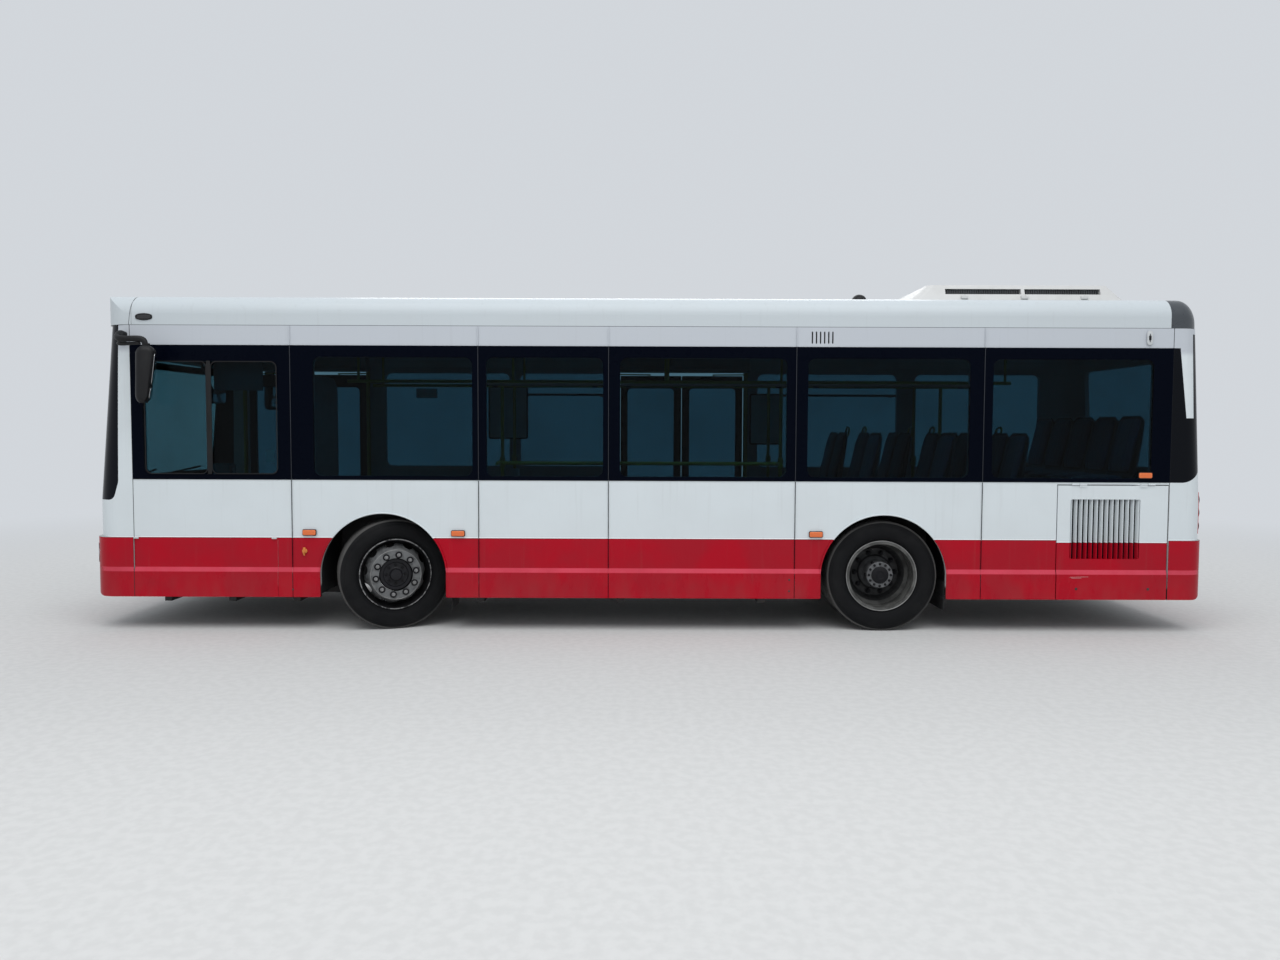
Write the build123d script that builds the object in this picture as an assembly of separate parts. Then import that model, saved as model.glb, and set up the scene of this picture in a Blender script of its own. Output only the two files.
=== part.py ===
from build123d import *
import os
from math import atan2, cos, degrees, hypot, radians, sin

# Driving dimensions of the city bus, in millimetres and degrees.
# X points forward, Y to the left, Z up. The origin is on the ground at mid length and mid width.
body_length = 9400
body_width = 2350
roof_height = 2830
wheelbase = 4183
front_overhang = 2505
tyre_radius = 465
tyre_width = 275
steer_rest_left = 20
steer_rest_right = 18

# Levels above the ground
skirt_z = 281
ledge_low_z = 489
ledge_high_z = 531
band_z = 779
belt_z = 1263
floor_z = 330
podium_z = 680
bench_z = 1080
lean_start_z = 1089
tow_plate_z = 225

# Drops below the crown of the roof
shoulder_drop = 55
cove_drop = 289
glass_top_drop = 452
header_drop = 500
rail_drop = 710

# Thicknesses and clearances
ledge = 12
wall = 45
roof_wall = 50
glass = 6
glass_bed = 7
windscreen_glass = 8
deck = 40
joint_gap = 6
lid_gap = 8
lamp_gap = 3
pin_gap = 1
bearing_gap = 3
seat_wall_gap = 12
groove_width = 6
groove_depth = 3

# Ends of the body in plan
front_bow = 80
front_corner = 200
rear_bow = 20
rear_corner = 150
roof_corner = 150
roof_end = 135
bumper_step = 28
rear_step = 14
front_lean = 124
rear_lean = 78
visor_recess = 30
nose_length = 426
tail_length = 339
roof_nose_length = 445
roof_tail_length = 366
bumper_foot_radius = 170
rear_foot_radius = 120

# Wheels
wheel_inset = 45
kingpin_inset = 270
rim_radius = 286
flange_radius = 298.5
flange_lip = 8
rim_width = 210
rim_wall = 14
bead_half = 103
twin_gap = 35
hand_holes = 10
hand_hole_radius = 27
hand_hole_circle = 248
arch_gap = 66
arch_crown_gap = 59
box_gap = 90
box_crown_gap = 110
box_wall = 30
box_depth = 380
box_corner = 90

# Doors: each doorway is a pair of leaves that glide inwards on turning posts
front_door_width = 1270
front_door_setback = 44
centre_door_width = 1320
centre_door_from_axle = 938
door_sill_z = floor_z - 5
door_leaf_thickness = 34
door_meeting_gap = 16
door_floor_gap = 28
door_header_gap = 68
door_stile = 75
door_pane_margin = 112
door_pane_head = 132
door_pane_corner = 45
door_arm_thickness = 12
door_arm_clearance = 6
door_arm_width = 28
post_radius = 20
post_setback = 20
post_wall_gap = 8
post_to_leaf = 30
post_end_gap = 6
door_pin_radius = 8
door_pin_length = 26
grab_rail_radius = 11
grab_rail_reach = 45
grab_rail_z = 1150
casing_depth = 190
casing_margin = 40

# Engine side flap with its grille, and rear engine hatch
flap_length = 935
flap_drop = 17
grille_from_flap = 116
grille_width = 581
grille_low_z = 622
grille_high_z = 1122
louvres = 14
louvre_pitch = 43.1
louvre_thickness = 5
louvre_lean = 12
hatch_half_y = 900
hatch_bottom_z = 560
hatch_top_z = 1190
hinge_radius = 5
hinge_offset = 6
knuckle_length = 60
knuckle_gap = 5

# Seats and cab
seat_width = 425
seat_pitch = 436
seat_rise = 50
rail_y = 420
rail_radius = 16
partition_x = 705
platform_rise = 150
cab_y = 640

half_body = body_width / 2
half_wall = half_body - ledge
half_inner = half_wall - wall
front_x = body_length / 2
rear_x = -body_length / 2
front_axle_x = front_x - front_overhang
rear_axle_x = front_axle_x - wheelbase
front_joint_x = front_x - nose_length
rear_joint_x = rear_x + tail_length
shoulder_z = roof_height - shoulder_drop
cove_z = roof_height - cove_drop
glass_top_z = roof_height - glass_top_drop
header_z = roof_height - header_drop
rail_z = roof_height - rail_drop
floor_bottom_z = floor_z - deck
wheel_outer_y = half_body - wheel_inset
kingpin_y = wheel_outer_y - kingpin_inset
twin_spacing = tyre_width + twin_gap
twin_inner_y = wheel_outer_y - tyre_width - twin_spacing
box_inner_y = kingpin_y - box_depth
box_half = tyre_radius + box_gap
box_top_z = 2 * tyre_radius + box_crown_gap
arch_half = tyre_radius + arch_gap
arch_top_z = 2 * tyre_radius + arch_crown_gap
step_x = rear_axle_x + box_half + box_wall + 113
flap_front_x = rear_joint_x + flap_length
flap_top_z = belt_z - flap_drop
bench_x = flap_front_x + 106
door_bottom_z = floor_z + door_floor_gap
door_top_z = header_z - door_header_gap
leaf_y = -(half_wall - door_leaf_thickness / 2)
post_y = -(half_inner - post_radius - post_wall_gap)
casing_z = door_top_z + door_arm_clearance + 2 * door_arm_thickness
pair_middle_y = half_inner - seat_wall_gap - (seat_width + seat_pitch) / 2
tow_pin_x = front_x - 170
tow_pin_radius = 20
sides = (("left", 1), ("right", -1))

# Doorways on the right side: name, rear jamb, front jamb
DOORWAYS = [
    ("front_door", front_joint_x - front_door_setback - front_door_width, front_joint_x - front_door_setback),
    ("centre_door", rear_axle_x + centre_door_from_axle, rear_axle_x + centre_door_from_axle + centre_door_width),
]

# Panel joints along both sides, from front to rear
PANEL_JOINTS = [
    front_axle_x + 755, front_axle_x - 801, front_axle_x - 1882, rear_axle_x + 745, rear_axle_x - 812,
]

# Bays of side glass: front joint, rear joint, then the margins of the clear window at the front, rear,
# bottom and top of the pane
LEFT_BAYS = [
    (front_joint_x, PANEL_JOINTS[0], 101, 108, 46, 133),
    (PANEL_JOINTS[0], PANEL_JOINTS[1], 188, 50, 35, 96),
    (PANEL_JOINTS[1], PANEL_JOINTS[2], 66, 45, 35, 96),
    (PANEL_JOINTS[2], PANEL_JOINTS[3], 96, 76, 35, 96),
    (PANEL_JOINTS[3], PANEL_JOINTS[4], 98, 117, 35, 96),
    (PANEL_JOINTS[4], rear_joint_x, 74, 161, 35, 96),
]
RIGHT_BAYS = [
    (DOORWAYS[0][1] - 60, PANEL_JOINTS[1], 138, 50, 35, 96),
    (PANEL_JOINTS[1], DOORWAYS[1][2] + 60, 66, 60, 35, 96),
    (DOORWAYS[1][1] - 60, PANEL_JOINTS[4], 90, 117, 35, 96),
    (PANEL_JOINTS[4], rear_joint_x, 74, 161, 35, 96),
]
window_corner = 60

# Rear window
rear_window_side = 295
rear_window_bottom_z = 1360
rear_window_drop = 530
rear_window_corner = 60


def block(x0, x1, y0, y1, z0, z1):
    """Block between two opposite corners."""
    return Pos((x0 + x1) / 2, (y0 + y1) / 2, (z0 + z1) / 2) * Box(abs(x1 - x0), abs(y1 - y0), abs(z1 - z0))


def outline(points, radii=0):
    """Closed flat face through the points, each corner rounded by its radius."""
    return make_face(FilletPolyline(*points, radius=radii, close=True).edges())


def frame_outline(u0, u1, v0, v1, corner):
    """Closed flat rectangle with rounded corners between two low and two high values."""
    return outline([(u0, v0), (u1, v0), (u1, v1), (u0, v1)], corner)


def across(face, y0, y1):
    """Side outline in X and Z, carried across the body from y0 to y1."""
    return Pos(0, max(y0, y1), 0) * extrude(Plane.XZ * face, abs(y1 - y0))


def along(face, x0, x1):
    """Cross-section in Y and Z, carried along the body from x0 to x1."""
    return Pos(min(x0, x1), 0, 0) * extrude(Plane.YZ * face, abs(x1 - x0))


def rod(x, y, z, radius, length, axis=(0, 0, 1)):
    """Round bar that starts at a point and runs along an axis."""
    return Plane(origin=(x, y, z), z_dir=axis) * Cylinder(
        radius, length, align=(Align.CENTER, Align.CENTER, Align.MIN)
    )


def tube_run(points, radius, bend):
    """Round bar along straight runs joined by bends."""
    path = FilletPolyline(*points, radius=bend) if len(points) > 2 else Line(*points)
    section = Plane(origin=path @ 0, z_dir=path % 0) * Circle(radius)
    return sweep(section, path=path)


def join(pieces):
    """Fuse touching pieces into one solid, or keep them as separate solids."""
    total = pieces[0]
    for piece in pieces[1:]:
        total = total + piece
    return total


def group(pieces):
    """Keep pieces that don't touch as separate solids of one node."""
    return Compound(children=[solid for piece in pieces for solid in piece.solids()])


def save(name, shape):
    """Write one sub-part to its file."""
    shape.label = name
    export_step(shape, f"parts/{name}.step")


def plan(z, front, rear, inset, half):
    """Plan outline at height z: bowed ends, rounded corners, moved inwards by inset."""
    side = half - inset
    x_front = front - inset
    x_rear = rear + inset
    edges = [
        Line((x_rear + rear_bow, side), (x_front - front_bow, side)),
        ThreePointArc((x_front - front_bow, side), (x_front, 0), (x_front - front_bow, -side)),
        Line((x_front - front_bow, -side), (x_rear + rear_bow, -side)),
        ThreePointArc((x_rear + rear_bow, -side), (x_rear, 0), (x_rear + rear_bow, side)),
    ]
    face = make_face(edges)
    front_corners = face.vertices().sort_by(Axis.X)[2:]
    face = fillet(front_corners, front_corner - inset)
    rear_corners = face.vertices().sort_by(Axis.X)[:2]
    face = fillet(rear_corners, rear_corner - inset)
    return Pos(0, 0, z) * face


def lower_hull(inset=0, half=half_body):
    """Upright hull of the lower band, from the skirt's bottom to the colour line."""
    return extrude(plan(skirt_z, front_x, rear_x, inset, half), band_z - skirt_z)


def upper_hull(inset=0):
    """Hull from the colour line to the cove, whose ends lean inwards above the apron."""
    foot_front = front_x - bumper_step
    foot_rear = rear_x + rear_step
    foot = plan(band_z, foot_front, foot_rear, inset, half_wall)
    start = plan(lean_start_z, foot_front, foot_rear, inset, half_wall)
    head = plan(cove_z, foot_front - front_lean, foot_rear + rear_lean, inset, half_wall)
    return loft([foot, start], ruled=True) + loft([start, head], ruled=True)


def roof_hull(inset=0):
    """Hull above the cove: cambered roof, rounded eaves, peaked front and rounded rear."""
    side = half_wall - inset
    top = shoulder_z - inset
    crown = roof_height - inset
    base = cove_z - 1 if inset else cove_z
    eaves = make_face([
        Line((-side, base), (side, base)),
        Line((side, base), (side, top)),
        ThreePointArc((side, top), (0, crown), (-side, top)),
        Line((-side, top), (-side, base)),
    ])
    eaves = fillet(eaves.vertices().sort_by(Axis.Y)[2:], roof_corner - inset)
    front = front_x - bumper_step - front_lean - visor_recess - inset
    rear = rear_x + rear_step + rear_lean + inset
    profile = outline(
        [
            (rear, base),
            (front, base),
            (front + 6, cove_z + 90),
            (front + 42, shoulder_z - 25 - inset),
            (front - 10, crown + 2),
            (rear, crown + 2),
        ],
        [0, 0, 200, 8, 0, roof_end],
    )
    footprint = plan(base, front + 45, rear, 0, side)
    body = along(eaves, rear_x, front_x)
    return (body & across(profile, -half_body, half_body)) & extrude(footprint, roof_height)


def wheel_arch(x, side):
    """Opening of a wheel arch through the side, upright below and round above."""
    spring_z = tyre_radius + groove_width + 29
    face = make_face([
        Line((x - arch_half, 0), (x + arch_half, 0)),
        Line((x + arch_half, 0), (x + arch_half, spring_z)),
        ThreePointArc((x + arch_half, spring_z), (x, arch_top_z), (x - arch_half, spring_z)),
        Line((x - arch_half, spring_z), (x - arch_half, 0)),
    ])
    return across(face, side * (half_inner - 40), side * (half_body + 40))


def side_section(side, inset=0):
    """Cross-section of one skirt: plain above, standing proud below the bevelled ledge."""
    proud_y, plain_y = half_body - inset, half_wall - inset
    return outline([
        (side * half_inner, skirt_z),
        (side * proud_y, skirt_z),
        (side * proud_y, ledge_low_z),
        (side * plain_y, ledge_high_z),
        (side * plain_y, band_z),
        (side * half_inner, band_z),
    ])


def window_cut(front, rear, bottom, top, side):
    """Window opening with rounded corners, right through one side wall."""
    face = frame_outline(rear, front, bottom, top, window_corner)
    return across(face, side * (half_inner - 10), side * (half_wall + 10))


def doorway_cut(x0, x1, z0, z1):
    """Opening between two jambs, right through the right side."""
    return block(x0, x1, -half_body - 10, -half_inner + 10, z0, z1)


def flap_region(gap):
    """Space of the engine side flap, narrowed all round by a gap."""
    return block(rear_joint_x + gap, flap_front_x - gap, half_inner - 1, half_body + 10,
                 skirt_z - 1, flap_top_z - gap)


def knuckle(x, y, z, axis, below):
    """Hinge knuckle: a short barrel on the hinge's axis and the strap that ties it to its panel."""
    barrel = rod(x, y, z, hinge_radius, knuckle_length, axis)
    z0, z1 = (z - 22, z) if below else (z, z + 14)
    if axis[0]:
        return barrel + block(x, x + knuckle_length, y - hinge_offset - 4, y, z0, z1)
    return barrel + block(x, x + 30, y, y + knuckle_length, z0, z1)


def side_wall(side, bays):
    """One side wall from the colour line to the cove, recessed for the glass and grooved at its joints."""
    y_in, y_out = side * half_inner, side * half_wall
    piece = block(rear_joint_x, front_joint_x, y_in, y_out, band_z, cove_z)
    for front, rear, at_front, at_rear, at_bottom, at_top in bays:
        piece -= block(rear, front, y_out - side * glass_bed, y_out, belt_z, glass_top_z)
        piece -= window_cut(front - at_front, rear + at_rear, belt_z + at_bottom, glass_top_z - at_top, side)
    for x in (front_axle_x, rear_axle_x):
        piece -= wheel_arch(x, side)
    for x in PANEL_JOINTS:
        for z0, z1 in ((band_z, belt_z), (glass_top_z, cove_z)):
            piece -= block(x - groove_width / 2, x + groove_width / 2, y_out - side * groove_depth, y_out, z0, z1)
    return piece


def side_panes(side, bays):
    """Flush panes of one side, parted by narrow joints."""
    half_joint = joint_gap / 2
    return [
        block(rear + half_joint, front - half_joint, side * (half_wall - glass), side * half_wall,
              belt_z + half_joint, glass_top_z - half_joint)
        for front, rear, *_ in bays
    ]


def roof_vent(wall_piece):
    """Row of upright vent slots in the fascia of the left wall."""
    slots, pitch, width = 6, 33.8, 12
    first_x = rear_axle_x + 448
    for i in range(slots):
        x = first_x + i * pitch
        face = frame_outline(x - width / 2, x + width / 2, glass_top_z + 27, glass_top_z + 126, 5)
        wall_piece -= across(face, half_wall - 20, half_wall + 1)
    return wall_piece


def louvre_grille(panel):
    """Grille through a panel: a row of slanted upright louvres in an opening with rounded corners."""
    front = flap_front_x - grille_from_flap
    rear = front - grille_width
    panel -= across(frame_outline(rear, front, grille_low_z, grille_high_z, 14), half_inner - 1, half_wall + 1)
    outer, inner = half_wall - 5, half_inner + 8
    first = front - (grille_width - (louvres - 1) * louvre_pitch) / 2
    for i in range(louvres):
        x = first - i * louvre_pitch
        blade = outline([
            (x, outer), (x - louvre_thickness, outer),
            (x - louvre_thickness + louvre_lean, inner), (x + louvre_lean, inner),
        ])
        panel += Pos(0, 0, grille_low_z - 4) * extrude(blade, grille_high_z - grille_low_z + 8)
    return panel


def build_sides():
    """Side walls, skirts, doorway frames and side glass, and the flap that closes the engine bay."""
    left = roof_vent(side_wall(1, LEFT_BAYS)) - flap_region(0)
    right = side_wall(-1, RIGHT_BAYS)
    skirts = []
    for name, side in sides:
        skirt = along(side_section(side), rear_joint_x, front_joint_x)
        for x in (front_axle_x, rear_axle_x):
            skirt -= wheel_arch(x, side)
        for x in PANEL_JOINTS + [front_axle_x + 876]:
            x0, x1 = x - groove_width / 2, x + groove_width / 2
            skirt -= along(side_section(side), x0, x1) - along(side_section(side, groove_depth), x0, x1)
        skirts.append(skirt)
    frames = []
    for _, x0, x1 in DOORWAYS:
        right -= doorway_cut(x0, x1, band_z - 1, cove_z + 1)
        skirts[1] -= doorway_cut(x0, x1, skirt_z - 1, band_z + 1)
        frames.append(block(x0, x1, -half_wall, -half_inner, header_z, cove_z))
        frames.append(along(side_section(-1), x0, x1) & doorway_cut(x0, x1, skirt_z, door_sill_z))
    hinge_y = half_wall + hinge_offset
    for x in (flap_front_x - 180, rear_joint_x + 180 - knuckle_length):
        left += knuckle(x, hinge_y, flap_top_z, (1, 0, 0), False)
    save("left_side_wall", left)
    save("right_side_wall", right)
    save("doorway_frames", group(frames))
    flap = along(side_section(1), rear_joint_x, flap_front_x)
    flap += block(rear_joint_x, flap_front_x, half_inner, half_wall, band_z, flap_top_z)
    flap = louvre_grille(flap & flap_region(lid_gap))
    for x in (flap_front_x - 180 - knuckle_gap - knuckle_length, rear_joint_x + 180 + knuckle_gap):
        flap += knuckle(x, hinge_y, flap_top_z, (1, 0, 0), True)
    save("skirts", group([skirts[0] - flap_region(0), skirts[1]]))
    save("engine_side_flap", flap)
    save("body_glass", group(side_panes(1, LEFT_BAYS) + side_panes(-1, RIGHT_BAYS) + [rear_glass()]))


def screen_region():
    """Side outline of the windscreen, its lower corner swept up round the body's corner."""
    return across(
        outline(
            [
                (front_joint_x + 98, cove_z + 5), (front_joint_x + 122, belt_z - 23),
                (front_joint_x + 166, lean_start_z + 1), (front_x + 200, lean_start_z + 1),
                (front_x + 200, cove_z + 5),
            ],
            [0, 90, 60, 0, 0],
        ),
        -half_body - 5,
        half_body + 5,
    )


def bumper_foot(joint_x, end_x, corner):
    """Side outline of a bumper from its joint to just past its end, rounded at its lower corner."""
    past = 1 if end_x > joint_x else -1
    return across(
        outline([(joint_x, skirt_z), (end_x, skirt_z), (end_x + past, band_z), (joint_x, band_z)],
                [0, corner, 0, 0]),
        -half_body - 5,
        half_body + 5,
    )


def build_front():
    """Mask with its pillars and apron, windscreen, and bumper with its air intake."""
    intake_half_y, intake_low_z, intake_high_z = 420, 350, 430
    ahead = block(front_joint_x, front_x + 50, -half_body - 5, half_body + 5, 0, roof_height)
    shell = (upper_hull() - upper_hull(wall)) & ahead
    save("front_mask", shell - screen_region())
    save("windscreen", (upper_hull() - upper_hull(windscreen_glass)) & ahead & screen_region())
    bumper = (lower_hull() - lower_hull(wall + ledge)) & bumper_foot(front_joint_x, front_x, bumper_foot_radius)
    bumper -= along(frame_outline(-intake_half_y, intake_half_y, intake_low_z, intake_high_z, 30),
                    front_x - 200, front_x + 10)
    for _, side in sides:
        bumper -= headlamp_zone(side, lamp_gap)
    save("front_bumper", bumper)


def rear_face_cut(half_y, bottom, top, corner):
    """Opening with rounded corners, right through the rear wall."""
    return along(frame_outline(-half_y, half_y, bottom, top, corner), rear_x - 50, rear_x + 300)


def rear_window(inset=0):
    """Space of the rear window, narrowed all round by an inset."""
    return rear_face_cut(half_body - rear_window_side - inset, rear_window_bottom_z + inset,
                         roof_height - rear_window_drop - inset, rear_window_corner)


def rear_glass():
    """Rear window, let into the rear wall."""
    return (upper_hull() - upper_hull(glass)) & rear_window()


def build_rear():
    """Rear wall with its corner panels, bumper, and louvred hatch over the engine."""
    behind = block(rear_x - 50, rear_joint_x, -half_body - 5, half_body + 5, 0, roof_height)
    shell = (upper_hull() - upper_hull(wall)) & behind
    hatch_zone = rear_face_cut(hatch_half_y, hatch_bottom_z, hatch_top_z, 30)
    bumper = (lower_hull() - lower_hull(wall + ledge)) & bumper_foot(rear_joint_x, rear_x, rear_foot_radius)
    hatch = (shell + bumper) & rear_face_cut(
        hatch_half_y - lid_gap, hatch_bottom_z + lid_gap, hatch_top_z - lid_gap, 24
    )
    slot_half_y, slot_height, slot_pitch = 150, 16, 34
    for y in (-450, 450):
        for i in range(7):
            z = hatch_top_z - 130 - i * slot_pitch
            face = frame_outline(y - slot_half_y, y + slot_half_y, z - slot_height / 2, z + slot_height / 2, 7)
            hatch -= along(face, rear_x - 50, rear_x + 300)
    rear_wall = shell - rear_window() - hatch_zone
    for _, side in sides:
        rear_wall -= tail_lamp_zone(side, lamp_gap)
    hinge_x = rear_x + 10
    for y in (-560, 500):
        rear_wall += knuckle(hinge_x, y, hatch_top_z, (0, 1, 0), False)
    for y in (-560 + knuckle_length + knuckle_gap, 500 - knuckle_length - knuckle_gap):
        hatch += knuckle(hinge_x, y, hatch_top_z, (0, 1, 0), True)
    save("rear_wall", rear_wall)
    save("rear_bumper", bumper - hatch_zone)
    save("engine_hatch", hatch)


def raised_lid(x, length, width, z, rise, taper):
    """Roof lid: a loft from its foot to a smaller top, both with rounded corners."""
    foot = Pos(x, 0, z) * RectangleRounded(length, width, 60)
    head = Pos(x, 0, z + rise) * RectangleRounded(length - 2 * taper, width - 2 * taper, 45)
    return loft([foot, head], ruled=True)


def build_roof():
    """Roof with its coves, front cap, rear cap, two hatches, and the cooling pod."""
    shell = roof_hull() - roof_hull(roof_wall)
    nose_x, tail_x = front_x - roof_nose_length, rear_x + roof_tail_length
    middle = block(tail_x, nose_x, -half_body, half_body, cove_z, roof_height + 10)
    front = block(nose_x + lamp_gap, front_x, -half_body, half_body, cove_z, roof_height + 10)
    rear = block(rear_x, tail_x - lamp_gap, -half_body, half_body, cove_z, roof_height + 10)
    save("roof_shell", group([shell & middle, shell & front]))
    save("rear_roof_cap", shell & rear)
    solid_roof = roof_hull()
    hatches = [raised_lid(x, 640, 560, roof_height - 30, 65, 25) for x in (front_axle_x - 1250, rear_axle_x + 900)]
    save("roof_hatches", group([lid - solid_roof for lid in hatches]))
    pod_front, pod_rear, pod_half_y = rear_x + 2440, rear_x + 500, 760
    pod_foot_z, pod_top_z = roof_height - 40, roof_height + 128
    hood = loft(
        [
            Pos((pod_front + pod_rear) / 2, 0, pod_foot_z)
            * RectangleRounded(pod_front - pod_rear, 2 * pod_half_y, 90),
            Pos((pod_front + pod_rear) / 2 - 10, 0, pod_top_z)
            * RectangleRounded(pod_front - pod_rear - 360, 2 * pod_half_y - 130, 60),
        ],
        ruled=True,
    )
    for middle_x in (pod_rear + 580, pod_rear + 1270):
        for _, side in sides:
            hood -= block(middle_x - 330, middle_x + 330, side * (pod_half_y - 70), side * (pod_half_y + 10),
                          pod_top_z - 82, pod_top_z - 34)
    save("air_conditioner", hood - solid_roof)


def wheel_box(x, side):
    """Moulded wheel box: an arched shell open below and towards the side."""
    inner = side * (box_inner_y - box_wall)
    outer_face = outline(
        [
            (x - box_half - box_wall, floor_bottom_z), (x + box_half + box_wall, floor_bottom_z),
            (x + box_half + box_wall, box_top_z), (x - box_half - box_wall, box_top_z),
        ],
        [0, 0, box_corner, box_corner],
    )
    hollow_face = outline(
        [
            (x - box_half, floor_bottom_z - 1), (x + box_half, floor_bottom_z - 1),
            (x + box_half, box_top_z - box_wall), (x - box_half, box_top_z - box_wall),
        ],
        [0, 0, box_corner - box_wall, box_corner - box_wall],
    )
    shell = across(outer_face, inner, side * half_inner)
    return shell - across(hollow_face, side * box_inner_y, side * (half_inner + 1))


def box_footprint(x, side, z0, z1):
    """Space that a wheel box takes out of a floor between two levels."""
    return block(x - box_half - box_wall, x + box_half + box_wall, side * (box_inner_y - box_wall),
                 side * (half_inner + 1), z0, z1)


def build_floor():
    """Stepped floor, wheel boxes, driver's platform, and the frame below."""
    floor_front = front_joint_x + 206
    bench_deck = block(rear_x + 100, bench_x, -half_inner, half_inner, bench_z - deck, bench_z)
    bench_deck = (bench_deck & upper_hull(wall + 1)) + block(
        bench_x - deck, bench_x, -half_inner, half_inner, podium_z, bench_z
    )
    low_floor = block(step_x + deck, floor_front, -half_inner, half_inner, floor_bottom_z, floor_z)
    low_floor &= lower_hull(wall + ledge + 10) + block(step_x, front_joint_x, -half_inner, half_inner,
                                                       floor_bottom_z, floor_z)
    podium = block(step_x, step_x + deck, -half_inner, half_inner, floor_bottom_z, podium_z)
    podium += block(bench_x - deck, step_x, -half_inner, half_inner, podium_z - deck, podium_z)
    boxes = []
    for _, side in sides:
        low_floor -= box_footprint(front_axle_x, side, 0, podium_z)
        podium -= box_footprint(rear_axle_x, side, 0, podium_z + 1)
        boxes.append(wheel_box(front_axle_x, side))
        # The rear axle's tube passes through the inner wall of its wheel boxes
        boxes.append(wheel_box(rear_axle_x, side) - block(
            rear_axle_x - 120, rear_axle_x + 120, side * (box_inner_y - box_wall - 1), side * (box_inner_y + 1),
            floor_bottom_z - 1, tyre_radius + 155,
        ))
    platform = block(partition_rear_x() + 60, front_joint_x - 94, 180, half_inner, floor_z, floor_z + platform_rise)
    save("floor_deck", group([low_floor, bench_deck]))
    save("podiums", group([podium, platform]))
    save("wheel_boxes", group(boxes))
    build_underframe()


def build_underframe():
    """Ladder frames below the low floor with the tow plate, and the engine's cradle rails."""
    rail_inner, rail_outer, rail_low = 400, 480, 205
    frames = []
    for x0, x1 in ((front_axle_x + 565, front_joint_x - 24), (step_x + 110, front_axle_x - 595)):
        rungs = [
            block(x0, x1, side * rail_inner, side * rail_outer, rail_low, floor_bottom_z) for _, side in sides
        ]
        for x in (x0 + 200, (x0 + x1) / 2, x1 - 200):
            rungs.append(block(x - 30, x + 30, 60 - half_inner, half_inner - 60, tow_plate_z, floor_bottom_z))
        frames.append(join(rungs))
    tow_plate = block(front_joint_x - 254, front_x - 100, -90, 90, tow_plate_z, tow_plate_z + deck)
    frames[0] = frames[0] + tow_plate - rod(tow_pin_x, 0, tow_plate_z - 5, tow_pin_radius, deck + 10)
    for _, side in sides:
        rail = block(rear_x + 300, rear_axle_x - box_half - box_wall - 47, side * 500, side * 570,
                     podium_z - deck - 80, podium_z - deck)
        for x in (engine_front_x() - 180, engine_front_x() - 830):
            rail += block(x - 40, x + 40, side * engine_half_y(side), side * 501, podium_z - 110, podium_z - 60)
        frames.append(rail)
    save("underframe", group(frames))


def build_axles():
    """Dropped front axle beam, and driven rear axle with its propeller shaft and air springs."""
    beam_half_y, drop_y, beam_z = 760, 600, 400
    low_z, beam_depth = 180, 82
    end = kingpin_y
    beam = outline(
        [
            (-end, beam_z), (-beam_half_y, beam_z), (-drop_y, low_z), (drop_y, low_z), (beam_half_y, beam_z),
            (end, beam_z), (end, beam_z + 130), (beam_half_y - 60, beam_z + 130),
            (drop_y - 60, low_z + beam_depth), (60 - drop_y, low_z + beam_depth),
            (60 - beam_half_y, beam_z + 130), (-end, beam_z + 130),
        ],
        [0, 60, 80, 80, 60, 0, 0, 60, 80, 80, 60, 0],
    )
    front = along(beam, front_axle_x - 45, front_axle_x + 45)
    for _, side in sides:
        front += rod(front_axle_x, side * kingpin_y, beam_z, 46, 130)
        front -= rod(front_axle_x, side * kingpin_y, beam_z - 10, 24 + pin_gap, 150)
        front += rod(front_axle_x, side * 300, low_z + 75, 80, floor_bottom_z - low_z - 75)
    save("front_axle", front)
    tube_end = twin_inner_y - 20
    rear = rod(rear_axle_x, -tube_end, tyre_radius, 68, 2 * tube_end, (0, 1, 0))
    rear += Pos(rear_axle_x, 0, tyre_radius) * Sphere(165)
    rear += rod(engine_front_x(), 0, tyre_radius, 45, rear_axle_x - engine_front_x(), (1, 0, 0))
    for _, side in sides:
        rear += rod(rear_axle_x, side * (tube_end - 2), tyre_radius, 50, 300, (0, side, 0))
        rear += rod(rear_axle_x, side * 350, tyre_radius, 85, podium_z - deck - tyre_radius)
    save("rear_axle", rear)


def turned(points, radii=0):
    """Solid of revolution about the wheel's axle, which is local Z."""
    return revolve(Plane.XZ * outline(points, radii), Axis.Z)


def tyre(middle):
    """One tyre round the local Z axis, its middle plane at the given distance."""
    half = tyre_width / 2
    shoulder, tread_half = tyre_radius - 18, half - 37
    side_radii = [0, 0, 30, 40, 12, 12]
    profile = [
        (rim_radius + 1, middle - bead_half), (rim_radius + 18, middle - bead_half),
        (rim_radius + 55, middle - half + 8), (rim_radius + 105, middle - half),
        (shoulder, middle - half + 16), (tyre_radius, middle - tread_half),
        (tyre_radius, middle + tread_half), (shoulder, middle + half - 16),
        (rim_radius + 105, middle + half), (rim_radius + 55, middle + half - 8),
        (rim_radius + 18, middle + bead_half), (rim_radius + 1, middle + bead_half),
    ]
    return turned(profile, side_radii + side_radii[::-1])


def rim(middle):
    """Rim with its two flanges."""
    half, bed = rim_width / 2, rim_radius - 2
    return turned([
        (bed - rim_wall, middle - half - flange_lip), (flange_radius, middle - half - flange_lip),
        (flange_radius, middle - half), (bed, middle - half), (bed, middle + half),
        (flange_radius, middle + half), (flange_radius, middle + half + flange_lip),
        (bed - rim_wall, middle + half + flange_lip),
    ])


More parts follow.
